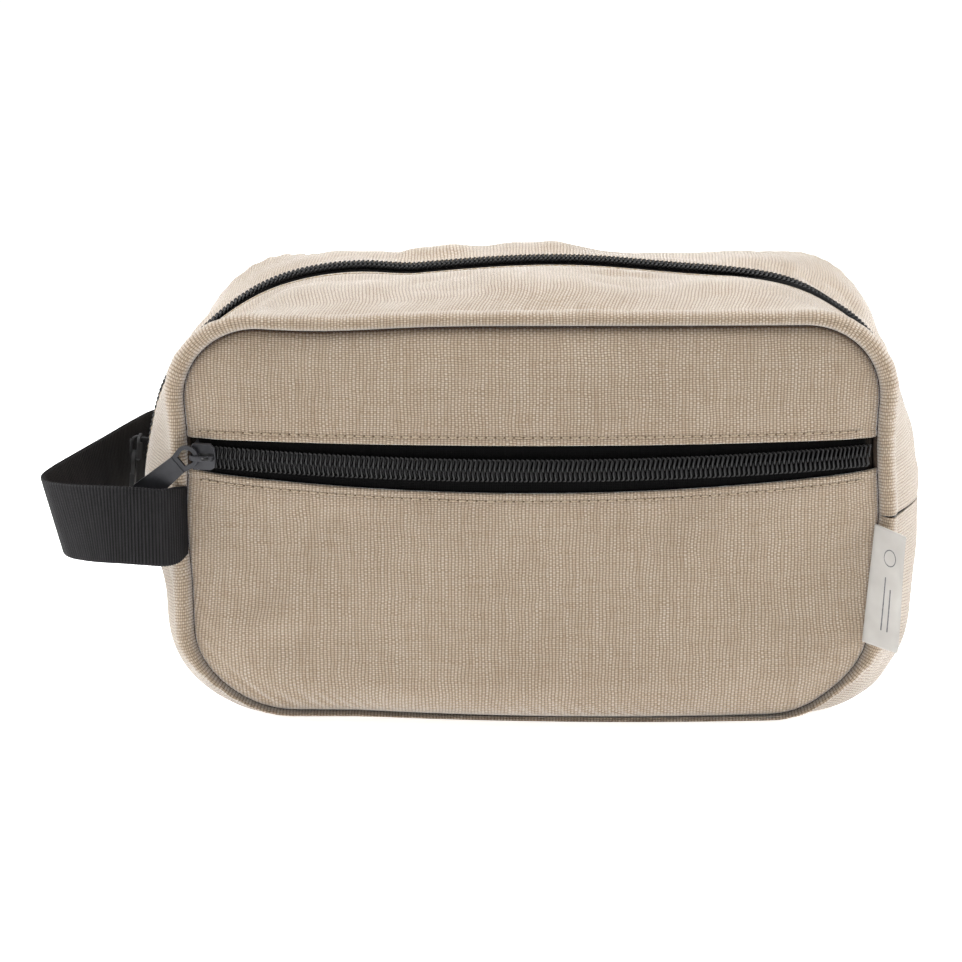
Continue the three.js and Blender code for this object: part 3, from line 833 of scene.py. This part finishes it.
def gusset_skin(quarter, turns, side, near):
    """The gusset's canvas from the zip or middle to the seam, with the roll beside it."""
    flat_rows = np.linspace(near, PIPE_START * 0.72, 26)
    if near:
        flat_rows = np.concatenate([near + EDGE_STEPS[:-1], flat_rows[flat_rows > near + 8]])
    rows = np.concatenate([flat_rows, PIPE_START * np.linspace(0.72, 1, 24)[1:]])
    turn, depth = np.meshgrid(turns, rows)
    fold = quarter_round(depth - near, FOLD_RADIUS) if near else 0 * depth
    skin, lean = tucked_point(quarter, turn, depth, fold)
    along = 1 - np.abs(turns)
    seam = SEAM[quarter].at(along)
    tangent = (SEAM[quarter].at(np.minimum(1, along + TANGENT_STEP))
               - SEAM[quarter].at(np.maximum(0, along - TANGENT_STEP)))
    tangent /= np.linalg.norm(tangent, axis=-1)[:, None]
    turned = 1 if quarter == "upper" else -1
    out = np.stack([tangent[:, 1], -tangent[:, 0]], -1) * turned
    mirror = np.where(turns < 0, -1, 1)
    out[:, 0] *= mirror
    seam[:, 0] *= mirror
    width = PIPE_OUT * (1 + 0.3 * np.abs(out[:, 0])) * (1 - 0.6 * smooth(30, 8, seam[:, 1]))
    width = width * (1 if side < 0 else 0.5)
    for axis, part in ((0, 0), (2, 1)):
        skin[..., axis] += (out[:, part] * width)[None] * (1 - lean)
    angle = np.linspace(0, math.pi, 26)[1:, None]
    offset = width[None] * (0.5 + 0.5 * np.cos(angle))
    pipe = np.stack([seam[:, 0][None] + out[:, 0] * offset,
                     PIPE_START + PIPE_PROUD * np.sin(angle) + 0 * offset,
                     seam[:, 1][None] + out[:, 1] * offset], -1)
    tuck = pipe[-1:] - np.array([0, TUCK, 0])
    skin = np.concatenate([skin, pipe, tuck])
    skin[..., 1] *= side
    return skin


def spread(points):
    """Distance along each column of a grid from its first row."""
    steps = np.linalg.norm(np.diff(points, axis=0), axis=-1)
    return np.concatenate([np.zeros((1, points.shape[1])), np.cumsum(steps, axis=0)])


def gusset_relief(points, run, away, quarter):
    """The puckers and lumps of a gusset strip, none where it is held."""
    relief = 0.25 * small_lumps(points) * smooth(5, 14, away) + puckers(away - 3, run, 13)
    relief = relief + 0.5 * soft_lumps(points) * smooth(5, 20, away)
    held = smooth(0, 12, points[..., 2]) if quarter == "lower" else 1.0
    step = np.abs(points[..., 2] - SIDE_SEAM_Z)
    return (relief * held - 0.35 * quarter_round(step, 1.3)) * smooth(2.5, 5, away)


# Painted shade along the side seam, where the gusset strips meet.
def side_seam_shade(points):
    return 0.4 * smooth(0.7, 0.1, np.abs(points[..., 2] - SIDE_SEAM_Z))


def gusset_turns(quarter, step):
    """Columns along a quarter's strip, close together at its two ends."""
    half = (SEAM[quarter].length + RIDGE[quarter].length) / 2
    return stations(-half, half, step, True, True) / half, half


def gusset_strip(name, node, side, near):
    """One canvas strip of the upper gusset, on one side of the zip."""
    turns, half = gusset_turns("upper", 0.8)
    points = gusset_skin("upper", turns, side, near)
    fold_gap = spread(points)
    away = fold_gap[-1:] - fold_gap - TUCK
    run = np.broadcast_to(turns * half, fold_gap.shape)
    relief = gusset_relief(points, run, away, "upper")
    wave = Ripples(21 if side < 0 else 22, 46)(points)
    soft = bump(15, 16, fold_gap) * smooth(100, 128, points[..., 2])
    relief += 0.6 * pucker_folds(run, fold_gap, 7 if side < 0 else 9)
    if side < 0:
        relief -= 1.6 * bump(42, 16, run + 0.5 * fold_gap) * bump(17, 9, fold_gap)
    relief = np.maximum(relief + 1.3 * wave * soft, -1.1)
    relief = relief * smooth(4, 13, fold_gap) + stitched(fold_gap, run)
    points = raised(points, relief)
    shade = seam_shade(away) + side_seam_shade(points)
    canvas_sheet(name, points, (run, side * (fold_gap + near)), shade, node)


def lower_gusset():
    turns, half = gusset_turns("lower", 1.3)
    sides = [gusset_skin("lower", turns, side, 0) for side in (-1, 1)]
    reach = [spread(part) for part in sides]
    away = np.concatenate([(reach[0][-1:] - reach[0])[::-1], (reach[1][-1:] - reach[1])[1:]])
    points = np.concatenate([sides[0][::-1], sides[1][1:]])
    across = np.concatenate([-reach[0][::-1], reach[1][1:]])
    away = away - TUCK
    run = np.broadcast_to(turns * half, across.shape)
    points = raised(points, gusset_relief(points, run, away, "lower"))
    points[..., 2] = np.maximum(points[..., 2], 0)
    shade = seam_shade(away) + side_seam_shade(points)
    canvas_sheet("gusset_bottom_canvas", points, (run, across), shade, "gusset_bottom")


front_panel("pocket_canvas_upper", "front_panel_upper", True)
front_panel("pocket_canvas_lower", "front_panel_lower", False)
back_panel()
gusset_strip("gusset_top_front_canvas", "gusset_top_front", -1, MAIN_MOUTH)
gusset_strip("gusset_top_back_canvas", "gusset_top_back", 1, MAIN_MOUTH)
lower_gusset()

# ---- linings, bindings and tapes ----


def gusset_layer(name, node, quarter, depths, inset, thickness, material, slot,
                 reach=1.0, columns=220):
    """A thin strip under the gusset's canvas, between two depths."""
    turn, depth = np.meshgrid(np.linspace(-reach, reach, columns), depths)
    raise_by = 0
    if slot == "zip_tape":
        raise_by = zip_lift(turn) * smooth(7, 4, np.abs(depth))
    points = settle(tucked_point(quarter, turn, depth, inset - raise_by)[0])
    points[..., 2] = np.maximum(points[..., 2], 1.0)
    nodes = (node,) if node else ()
    cloth_sheet(name, points, (turn * SEAM[quarter].length, depth), thickness, material, slot,
                *nodes)


def flat_lining(name, node):
    """A lining sheet hung inside the bag, with a little slack."""
    low, high = box_mm(node)
    share, z, x = panel_grid(np.linspace(-1, 1, 90), np.linspace(low[2], high[2], 60))
    x = x * high[0] / SEAM_SIDE
    slack = Ripples(len(name), 45)(np.stack([x, 0 * x, z], -1))
    inner = smooth(0, 0.2, 1 - np.abs(share)) * smooth(low[2], low[2] + 20, z)
    y = (low[1] + high[1]) / 2 + 0.35 * slack * inner * smooth(high[2], high[2] - 20, z)
    obj = make_object(name, settle(np.stack([x, y, z], -1)).reshape(-1, 3),
                      grid_faces(*x.shape), np.stack([x, z], -1).reshape(-1, 2) / UV_SCALE)
    add_modifier(obj, "SOLIDIFY", thickness=SHEET_THICKNESS * MM, offset=0.0)
    dress(obj, LINING_CLOTH, "bag", "lining", node)


def seam_allowance(side_name, side):
    """The turned-in edges that close the bottom of a panel's seam groove, coloured dark as
    painted shade.
    """
    share = np.linspace(0, 1, 300)
    half = np.concatenate([SEAM["lower"].at(share[::-1]), SEAM["upper"].at(share[1:])])
    ring = np.concatenate([half, (half * (-1, 1))[::-1]])
    steps = np.linalg.norm(np.diff(ring, axis=0), axis=1)
    ring = ring[np.concatenate([[True], steps > 1e-6])]
    path = np.stack([ring[:, 0], np.full(len(ring), side * ALLOWANCE_DEPTH), ring[:, 1]], -1)
    builder = Builder()
    builder.tube(path, ALLOWANCE_RADIUS, np.array([0, 1.0, 0]), sides=8)
    points = settle(builder.points())
    points[:, 2] = np.maximum(points[:, 2], 0.2)
    obj = make_object(f"seam_allowance_{side_name}", points, builder.faces)
    dress(obj, SEAM_ALLOWANCE_SHADE, "bag", "canvas")


for side_name, side in SIDES:
    gusset_layer(f"main_tape_{side_name}", f"main_zip_tape_{side_name}", "upper",
                 side * np.linspace(TAPE_NEAR, TAPE_FAR, 14), TAPE_INSET, SHEET_THICKNESS,
                 TAPE_CLOTH, "zip_tape", TAPE_REACH)
    gusset_layer(f"lining_strip_{side_name}", f"lining_top_{side_name}", "upper",
                 side * np.linspace(LINING_NEAR, LINING_FAR, 14), LINING_INSET,
                 SHEET_THICKNESS, LINING_CLOTH, "lining")
for side_name, side in SIDES:
    seam_allowance(side_name, side)
for side_name, side in SIDES:
    for quarter, node in (("upper", f"seam_binding_{side_name}"), ("lower", None)):
        gusset_layer(f"binding_{side_name}_{quarter}", node, quarter,
                     side * np.linspace(BINDING_NEAR, BINDING_FAR, 14), BINDING_INSET,
                     BINDING_THICKNESS, BINDING_CLOTH, "binding")
gusset_layer("lining_base", "lining_bottom", "lower", np.linspace(-LINING_FAR, LINING_FAR, 40),
             LINING_INSET, SHEET_THICKNESS, LINING_CLOTH, "lining", columns=200)
flat_lining("pocket_rear_lining", "pocket_lining")
flat_lining("compartment_front_lining", "lining_front")
flat_lining("compartment_back_lining", "lining_back")

# ---- zips ----


def front_zip_place(local):
    """From zip coordinates (along, up, out of the cloth) to the bag."""
    angle = local[..., 0] / ARC_RADIUS
    reach = ARC_RADIUS + local[..., 2]
    centre = -RIM - FRONT_CROWN + ARC_RADIUS
    return settle(np.stack([reach * np.sin(angle), centre - reach * np.cos(angle),
                            FRONT_ZIP_Z + local[..., 1]], -1))


def main_zip_place(local):
    """From zip coordinates (along, towards the back, out of the cloth) to the bag."""
    turn = local[..., 0] / RIDGE["upper"].length
    return settle(gusset_point("upper", turn, local[..., 1], -local[..., 2] - zip_lift(turn)))


def front_tape(name, node, sign):
    along = np.linspace(-1, 1, 240) * (SEAM_SIDE - 3.4)
    run, height = np.meshgrid(along, sign * np.linspace(TAPE_NEAR, TAPE_FAR, 14))
    local = np.stack([run, height, 0 * run - TAPE_INSET], -1)
    points = front_zip_place(local)
    points[..., 1] += FRONT_CROWN * (crown(run / SEAM_SIDE, np.float64(FRONT_ZIP_Z))
                                     - crown(run / SEAM_SIDE, FRONT_ZIP_Z + height))
    cloth_sheet(name, points, (run, height), SHEET_THICKNESS, TAPE_CLOTH, "zip_tape", node)


def coil_half(name, node, place, half_length, side, steps):
    """One side of a coil zip: a flattened spiral whose heads mesh with the other side's."""
    turns = int(2 * half_length / COIL_PITCH)
    t = np.arange(turns * steps) * 2 * math.pi / steps
    across = COIL_MIDDLE + COIL_SWING * np.cos(t)
    lift = np.sin(t)
    sweep = np.where(lift > 0, 1.15, 0.25) * np.sqrt(np.abs(lift)) * (across / COIL_HEAD) ** 2
    along = (t / (2 * math.pi) - turns / 2 + (0.25 if side > 0 else -0.25)) * COIL_PITCH + sweep
    local = np.stack([along, side * across, 0.05 + 0.62 * np.sign(lift)
                      * np.abs(lift) ** 0.7], -1)
    builder = Builder()
    builder.tube(local, COIL_WIRE, np.array([1.0, 0, 0]))
    obj = make_object(name, place(builder.points()), builder.faces)
    dress(obj, COIL, "bag", "zip_coil", node)


FRONT_COIL_HALF = SEAM_SIDE - 1.8
MAIN_COIL_HALF = RIDGE["upper"].length * 0.975

for half_name, sign in HALVES:
    front_tape(f"pocket_tape_{half_name}", f"front_zip_tape_{half_name}", sign)
    coil_half(f"pocket_coil_{half_name}", f"front_zip_coil_{half_name}", front_zip_place,
              FRONT_COIL_HALF, sign, 14)
for side_name, side in SIDES:
    coil_half(f"main_coil_{side_name}", f"main_zip_coil_{side_name}", main_zip_place,
              MAIN_COIL_HALF, side, 12)

# ---- topstitching ----

SECTION_UP = np.array([0, 0.3, 1.0])


def stitch_row(name, place, half_length):
    """Thread between needle holes: place(run, lift) gives points beside the folded edge."""
    builder, holes = Builder(), Builder()
    count = int(half_length / STITCH_PITCH)
    shares = np.linspace(0, 1, 6)
    for i in range(-count, count):
        run = (i + 0.08 + 0.84 * shares) * STITCH_PITCH
        lift = -0.28 + 0.42 * np.sin(shares * math.pi) ** 0.6
        builder.tube(place(run, lift), THREAD_RADIUS, SECTION_UP)
        # A short dark tube at each needle hole: painted shade for the hole.
        hole = i * STITCH_PITCH + np.array([-0.3, 0, 0.3])
        holes.tube(place(hole, np.array([-0.2, -0.1, -0.2])), THREAD_RADIUS + 0.01, SECTION_UP)
    obj = make_object(name, builder.points(), builder.faces)
    dress(obj, THREAD, "bag", "canvas")
    hole_shade = make_object(name + "_hole_shade", holes.points(), holes.faces)
    dress(hole_shade, NEEDLE_HOLE_SHADE, "bag", "canvas")


def pocket_stitch(sign):
    def place(run, lift):
        share = run / SEAM_SIDE
        z = FRONT_ZIP_Z + sign * (mouth(share) + STITCH_BACK)
        y = -RIM - FRONT_CROWN * crown(share, z) - lift
        return settle(np.stack([run, y, z], -1))
    return place


def main_stitch(side):
    def place(run, lift):
        length = (SEAM["upper"].length + RIDGE["upper"].length) / 2
        depth = side * (MAIN_MOUTH + STITCH_BACK) + 0 * run
        return settle(gusset_point("upper", run / length, depth, -lift))
    return place


for half_name, sign in HALVES:
    stitch_row(f"pocket_stitches_{half_name}", pocket_stitch(sign), SEAM_SIDE - 4)
for side_name, side in SIDES:
    stitch_row(f"main_stitches_{side_name}", main_stitch(side), RIDGE["upper"].length - 6)

# ---- sliders and pulls ----


def extrude(builder, outline, low, high):
    """A flat plate from an outline seen from above, between two heights."""
    outline = np.asarray(outline, float)
    count = len(outline)
    rings = [np.column_stack([outline, np.full(count, z)]) for z in (low, high)]
    first = builder.count
    builder.vertices += rings
    builder.count += 2 * count
    index = np.arange(count)
    rolled = np.roll(index, -1)
    quads = np.stack([index, rolled, rolled + count, index + count], -1) + first
    builder.faces += quads.tolist()
    builder.faces += [(index[::-1] + first).tolist(), (index + count + first).tolist()]


def bar(builder, path, half_width, half_depth):
    """A flat bar following a path in the plane across the zip's middle."""
    path = np.asarray(path, float)
    tangent = np.gradient(path, axis=0)
    tangent /= np.linalg.norm(tangent, axis=1)[:, None]
    normal = np.stack([-tangent[:, 1], tangent[:, 0]], -1) * half_depth
    corners = [(path + normal, 1), (path + normal, -1), (path - normal, -1), (path - normal, 1)]
    rings = np.stack([np.stack([spot[:, 0], np.full(len(path), sign * half_width), spot[:, 1]],
                               -1) for spot, sign in corners], 1)
    index = np.arange(len(path) * 4).reshape(-1, 4) + builder.count
    builder.vertices.append(rings.reshape(-1, 3))
    builder.faces += tube_faces(index, flip=True)
    builder.count += len(path) * 4


# Outlines in the zip's plane (along, across), and heights above it.
UPPER_PLATE, LOWER_PLATE = (1.5, 2.5), (-3.5, -2.6)
PLATE_OUTLINE = [(-3.2, -4.2), (2.4, -4.1), (3.7, -3.2), (4.0, 0), (3.7, 3.2), (2.4, 4.1),
                 (-3.2, 4.2), (-4.0, 3.0), (-2.6, 1.3), (-2.6, -1.3), (-4.0, -3.0)]
RECESS_OUTLINE = [(-2.5, -1.25), (3.0, -1.25), (3.0, 1.25), (-2.5, 1.25)]
NECK_OUTLINE = [(1.6, -0.9), (3.2, -0.6), (3.2, 0.6), (1.6, 0.9)]
SLOT_OUTLINE = [(0.2, -0.45), (2.4, -0.45), (2.4, 0.45), (0.2, 0.45)]
BRIDGE_PATH = [(-3.9, 2.0), (-3.9, 3.2), (-3.3, 4.2), (-2.2, 4.65), (-0.5, 4.7), (1.3, 4.6),
               (2.6, 4.1), (3.2, 3.2), (3.3, 2.3)]


def slider(name, node, body, origin, along, out, material):
    """The slider's two plates, the neck between them and the bridge the pull hangs on."""
    across = np.cross(out, along)
    builder = Builder()
    extrude(builder, PLATE_OUTLINE, *UPPER_PLATE)
    extrude(builder, PLATE_OUTLINE, *LOWER_PLATE)
    extrude(builder, NECK_OUTLINE, -2.7, 1.6)
    for sign in (-1, 1):
        extrude(builder, [(-3.2, sign * 4.2), (2.4, sign * 4.1), (2.4, sign * 3.7),
                          (-3.2, sign * 3.8)][::sign], 0.6, 1.6)
    bar(builder, BRIDGE_PATH, 0.8, 0.42)
    place = np.stack([along, across, out])
    obj = make_object(name, builder.points() @ place + origin, builder.faces)
    add_modifier(obj, "BEVEL", width=0.22 * MM, segments=3, limit_method="ANGLE",
                 angle_limit=math.radians(30))
    dress(obj, material, body, "slider", node)
    # Painted shade: near-black plates fill the recess on the upper plate and the slot on top of
    # the bridge.
    dark = Builder()
    extrude(dark, RECESS_OUTLINE, 2.3, 2.54)
    extrude(dark, SLOT_OUTLINE, 4.9, 5.16)
    recess_shade = make_object(name + "_recess_shade", dark.points() @ place + origin, dark.faces)
    dress(recess_shade, COIL, body, "slider")


FRONT_SLIDER_X = -102.0
MAIN_SLIDER_TURN = math.radians(4)


def place_sliders():
    turn = math.asin(FRONT_SLIDER_X / ARC_RADIUS)
    origin = (FRONT_SLIDER_X, ARC_RADIUS - RIM - FRONT_CROWN - ARC_RADIUS * math.cos(turn),
              FRONT_ZIP_Z)
    slider("pocket_slider", "front_zip_slider", "front_slider", np.array(origin),
           np.array([math.cos(turn), math.sin(turn), 0]),
           np.array([math.sin(turn), -math.cos(turn), 0]), METAL)
    turn = MAIN_SLIDER_TURN
    origin = (-RIDGE_SHOULDER - RIDGE_TOP_RADIUS * math.cos(turn), 0,
              RIDGE_TOP - RIDGE_TOP_RADIUS + RIDGE_TOP_RADIUS * math.sin(turn))
    slider("main_slider_body", "main_zip_slider", "main_slider", np.array(origin),
           np.array([math.sin(turn), 0, math.cos(turn)]),
           np.array([-math.cos(turn), 0, math.sin(turn)]), BLACK_ENAMEL_AND_SHADE)


place_sliders()
for node_name, enamel in (("front_zip_pull", METAL), ("main_zip_pull", BLACK_ENAMEL_AND_SHADE)):
    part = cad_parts[node_name]
    part.data.materials.clear()
    part.data.materials.append(enamel)
    add_modifier(part, "BEVEL", width=0.28 * MM, segments=3, limit_method="ANGLE",
                 angle_limit=math.radians(35))

# ---- carry loop ----


def between(first, last, start, end, place):
    return ((end - place) * first + (place - start) * last) / (end - start)


def catmull(points, samples):
    """A centripetal Catmull-Rom curve through the points, sampled evenly by length."""
    ends = [2 * points[0] - points[1], *points, 2 * points[-1] - points[-2]]
    curve = []
    for i in range(1, len(ends) - 2):
        p = ends[i - 1:i + 3]
        knots = np.cumsum([0, *(np.linalg.norm(p[k + 1] - p[k]) ** 0.5 for k in range(3))])
        for t in np.linspace(knots[1], knots[2], 24, endpoint=i == len(ends) - 3):
            near = [between(p[k], p[k + 1], knots[k], knots[k + 1], t) for k in range(3)]
            wide = [between(near[k], near[k + 1], knots[k], knots[k + 2], t) for k in range(2)]
            curve.append(between(*wide, knots[1], knots[2], t))
    curve = np.array(curve)
    run = np.concatenate([[0], np.cumsum(np.linalg.norm(np.diff(curve, axis=0), axis=1))])
    even = np.linspace(0, run[-1], samples)
    return np.stack([np.interp(even, run, curve[:, k]) for k in range(3)], -1), run[-1]


def carry_loop():
    """One length of ribbed webbing from the front seam round to the back seam."""
    length = catmull(LOOP_POINTS, 50)[1]
    samples = int(length / (RIB_PITCH / 5))
    path, _ = catmull(LOOP_POINTS, samples)
    tangent = np.gradient(path, axis=0)
    tangent[:, 2] = 0
    tangent /= np.linalg.norm(tangent, axis=1)[:, None]
    side = np.stack([-tangent[:, 1], tangent[:, 0], 0 * tangent[:, 0]], -1)
    run = np.linspace(0, length, samples)
    half, thick = WEBBING_WIDTH / 2, WEBBING_THICKNESS / 2
    ups = np.concatenate([[-half], np.linspace(-half + 0.5, half - 0.5, 12), [half]])
    edge = np.where(np.abs(ups) > half - 0.1, 0.55, 1.0)
    section = [(up, face * thick * squeeze) for face, order in ((1, 1), (-1, -1))
               for up, squeeze in zip(ups[::order], edge[::order])]
    section = np.array(section)
    rib = RIB_HEIGHT * np.abs(np.sin(math.pi * run / RIB_PITCH))
    selvedge = 0.12 * np.sin(2 * math.pi * run / RIB_PITCH)
    points = np.empty((samples, len(section), 3))
    fold = smooth(-126, -150, path[:, 0]) * smooth(30, -20, path[:, 1])
    for j, (up, out) in enumerate(section):
        face = np.sign(out)
        grow = out + face * (rib - RIB_HEIGHT)
        height = up + np.sign(up) * selvedge * (abs(up) > half - 0.1)
        points[:, j] = path + side * grow[:, None]
        points[:, j, 0] += (FOLD_LEAN * (0.5 - height / WEBBING_WIDTH) - 2.0) * fold
        points[:, j, 2] += height * (1 - 0.1 * smooth(8, 0, run)) - 1.4 * fold
    count = len(section)
    index = np.arange(samples * count).reshape(samples, count)
    faces = tube_faces(index, flip=True)
    uvs = np.stack([np.broadcast_to(run[:, None], (samples, count)),
                    np.broadcast_to(section[:, 0], (samples, count))], -1) / UV_SCALE
    obj = make_object("carry_webbing", points.reshape(-1, 3), faces, uvs.reshape(-1, 2))
    dress(obj, WEBBING, None, "webbing", "loop_end_front", "carry_loop", "loop_end_back")
    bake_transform(obj)


carry_loop()

# ---- side label ----

LABEL_WIDTH = 12.0
LABEL_HEIGHT = 38.5
LABEL_Z = 47.3
LABEL_ANGLE = math.radians(42)
LABEL_LEAN = 0.6
LABEL_CURL = 1.6
LABEL_HALF = 0.42


def label_place(out, up, lift):
    """From label coordinates (out from the seam, up, off its face) to the bag."""
    low, high = (seam_half_width(LABEL_Z + sign * LABEL_HEIGHT / 2) for sign in (-1, 1))
    lean = LABEL_LEAN * math.atan2(high - low, LABEL_HEIGHT)
    curl = LABEL_CURL * (out / LABEL_WIDTH) ** 2 * (up / LABEL_HEIGHT * 2)
    away = lift + curl * 0.5 + 0.5 * np.sin(up / 9.0) * out / LABEL_WIDTH
    x = out * math.cos(LABEL_ANGLE) - away * math.sin(LABEL_ANGLE)
    y = -out * math.sin(LABEL_ANGLE) - away * math.cos(LABEL_ANGLE)
    z = up - 0.06 * out
    turned_x = x * math.cos(lean) + z * math.sin(lean)
    turned_z = -x * math.sin(lean) + z * math.cos(lean)
    hinge = (seam_half_width(LABEL_Z), -RIM - 0.95, LABEL_Z)
    return np.stack([turned_x + hinge[0], y + hinge[1], turned_z + hinge[2]], -1)


def side_label():
    """A folded satin tag; its two grey bars and plain ring are made by label_print."""
    out, up = np.meshgrid(np.concatenate([[-0.7], np.linspace(0, LABEL_WIDTH, 30)]),
                          np.linspace(-LABEL_HEIGHT / 2, LABEL_HEIGHT / 2, 70))
    end = quarter_round(LABEL_WIDTH - out, 0.5)
    uvs = (np.stack([out, up], -1) / UV_SCALE).reshape(-1, 2)
    front = label_place(out, up, LABEL_HALF - end).reshape(-1, 3)
    back = label_place(out, up, end - LABEL_HALF).reshape(-1, 3)
    rows, columns = out.shape
    count = rows * columns
    faces = grid_faces(rows, columns) + grid_faces(rows, columns, flip=True, first=count)
    index = np.arange(count).reshape(rows, columns)
    for line in (index[0], index[-1][::-1], index[:, 0][::-1]):
        faces += [[a, a + count, b + count, b] for a, b in zip(line[:-1], line[1:])]
    obj = make_object("side_tag", np.concatenate([front, back]), faces,
                      np.concatenate([uvs, uvs]))
    dress(obj, LABEL_CLOTH, "label", "label", "side_label")


def label_print():
    marks = Builder()
    for out, low, high in ((5.6, -13.5, 4.0), (7.8, -13.5, 0.5)):
        up = np.linspace(low, high, 40)
        path = label_place(0 * up + out, up, 0 * up + 0.05)
        marks.tube(path, 0.45, np.array([1.0, 0, 0]), sides=12)
    turn = np.linspace(0, 2 * math.pi, 40)
    ring = label_place(6.6 + 2.3 * np.cos(turn), 10.5 + 2.6 * np.sin(turn), 0 * turn + 0.2)
    marks.tube(ring, 0.3, SECTION_UP)
    obj = make_object("side_tag_marks", marks.points(), marks.faces)
    dress(obj, LABEL_PRINT, "label", "label")


side_label()
label_print()

# ---- stage, light and camera ----

AIM = Vector((-16.0, -51.2, 80.6)) * MM
CAMERA_DISTANCE = 1.05
CAMERA_RISE = math.radians(15.5)
PIXELS_PER_METRE = 3200.0
IMAGE_WIDTH = 962
LIGHT_AIM = Vector((0, 0, 0.07))
FLOOR_HALF = 6.0


def make_camera():
    data = bpy.data.cameras.new("camera")
    data.sensor_width = 36.0
    data.lens = PIXELS_PER_METRE * CAMERA_DISTANCE / IMAGE_WIDTH * data.sensor_width
    camera = bpy.data.objects.new("camera", data)
    back = Vector((0, -math.cos(CAMERA_RISE), math.sin(CAMERA_RISE)))
    camera.location = AIM + back * CAMERA_DISTANCE
    camera.rotation_euler = (math.pi / 2 - CAMERA_RISE, 0, 0)
    bpy.context.scene.collection.objects.link(camera)
    bpy.context.scene.camera = camera


def area_light(name, place, size, power):
    data = bpy.data.lights.new(name, "AREA")
    data.energy, data.size, data.shape = power, size, "SQUARE"
    light = bpy.data.objects.new(name, data)
    light.location = place
    light.rotation_euler = (LIGHT_AIM - Vector(place)).to_track_quat("-Z", "Y").to_euler()
    bpy.context.scene.collection.objects.link(light)


def make_stage():
    half = FLOOR_HALF
    mesh = bpy.data.meshes.new("floor")
    mesh.from_pydata([(-half, -half, 0), (half, -half, 0), (half, half, 0), (-half, half, 0)],
                     [], [(0, 1, 2, 3)])
    floor = bpy.data.objects.new("floor", mesh)
    bpy.context.scene.collection.objects.link(floor)
    nodes = Nodes("floor")
    mesh.materials.append(nodes.finish((0.9, 0.9, 0.9), 0.9, Emission_Color=(1, 1, 1, 1),
                                       Emission_Strength=0.75))
    world = bpy.data.worlds.new("studio")
    bpy.context.scene.world = world
    world.use_nodes = True
    world.node_tree.nodes["Background"].inputs[0].default_value = (1, 1, 1, 1)
    world.node_tree.nodes["Background"].inputs[1].default_value = 0.26
    area_light("top", (0, 0.08, 0.95), 0.7, 11)
    area_light("left", (-0.85, 0.05, 0.4), 0.5, 8)
    area_light("right", (0.85, 0.05, 0.4), 0.5, 8)
    area_light("front", (0.1, -1.2, 0.6), 0.8, 1.0)


make_camera()
make_stage()
bpy.context.scene.view_settings.view_transform = "Standard"
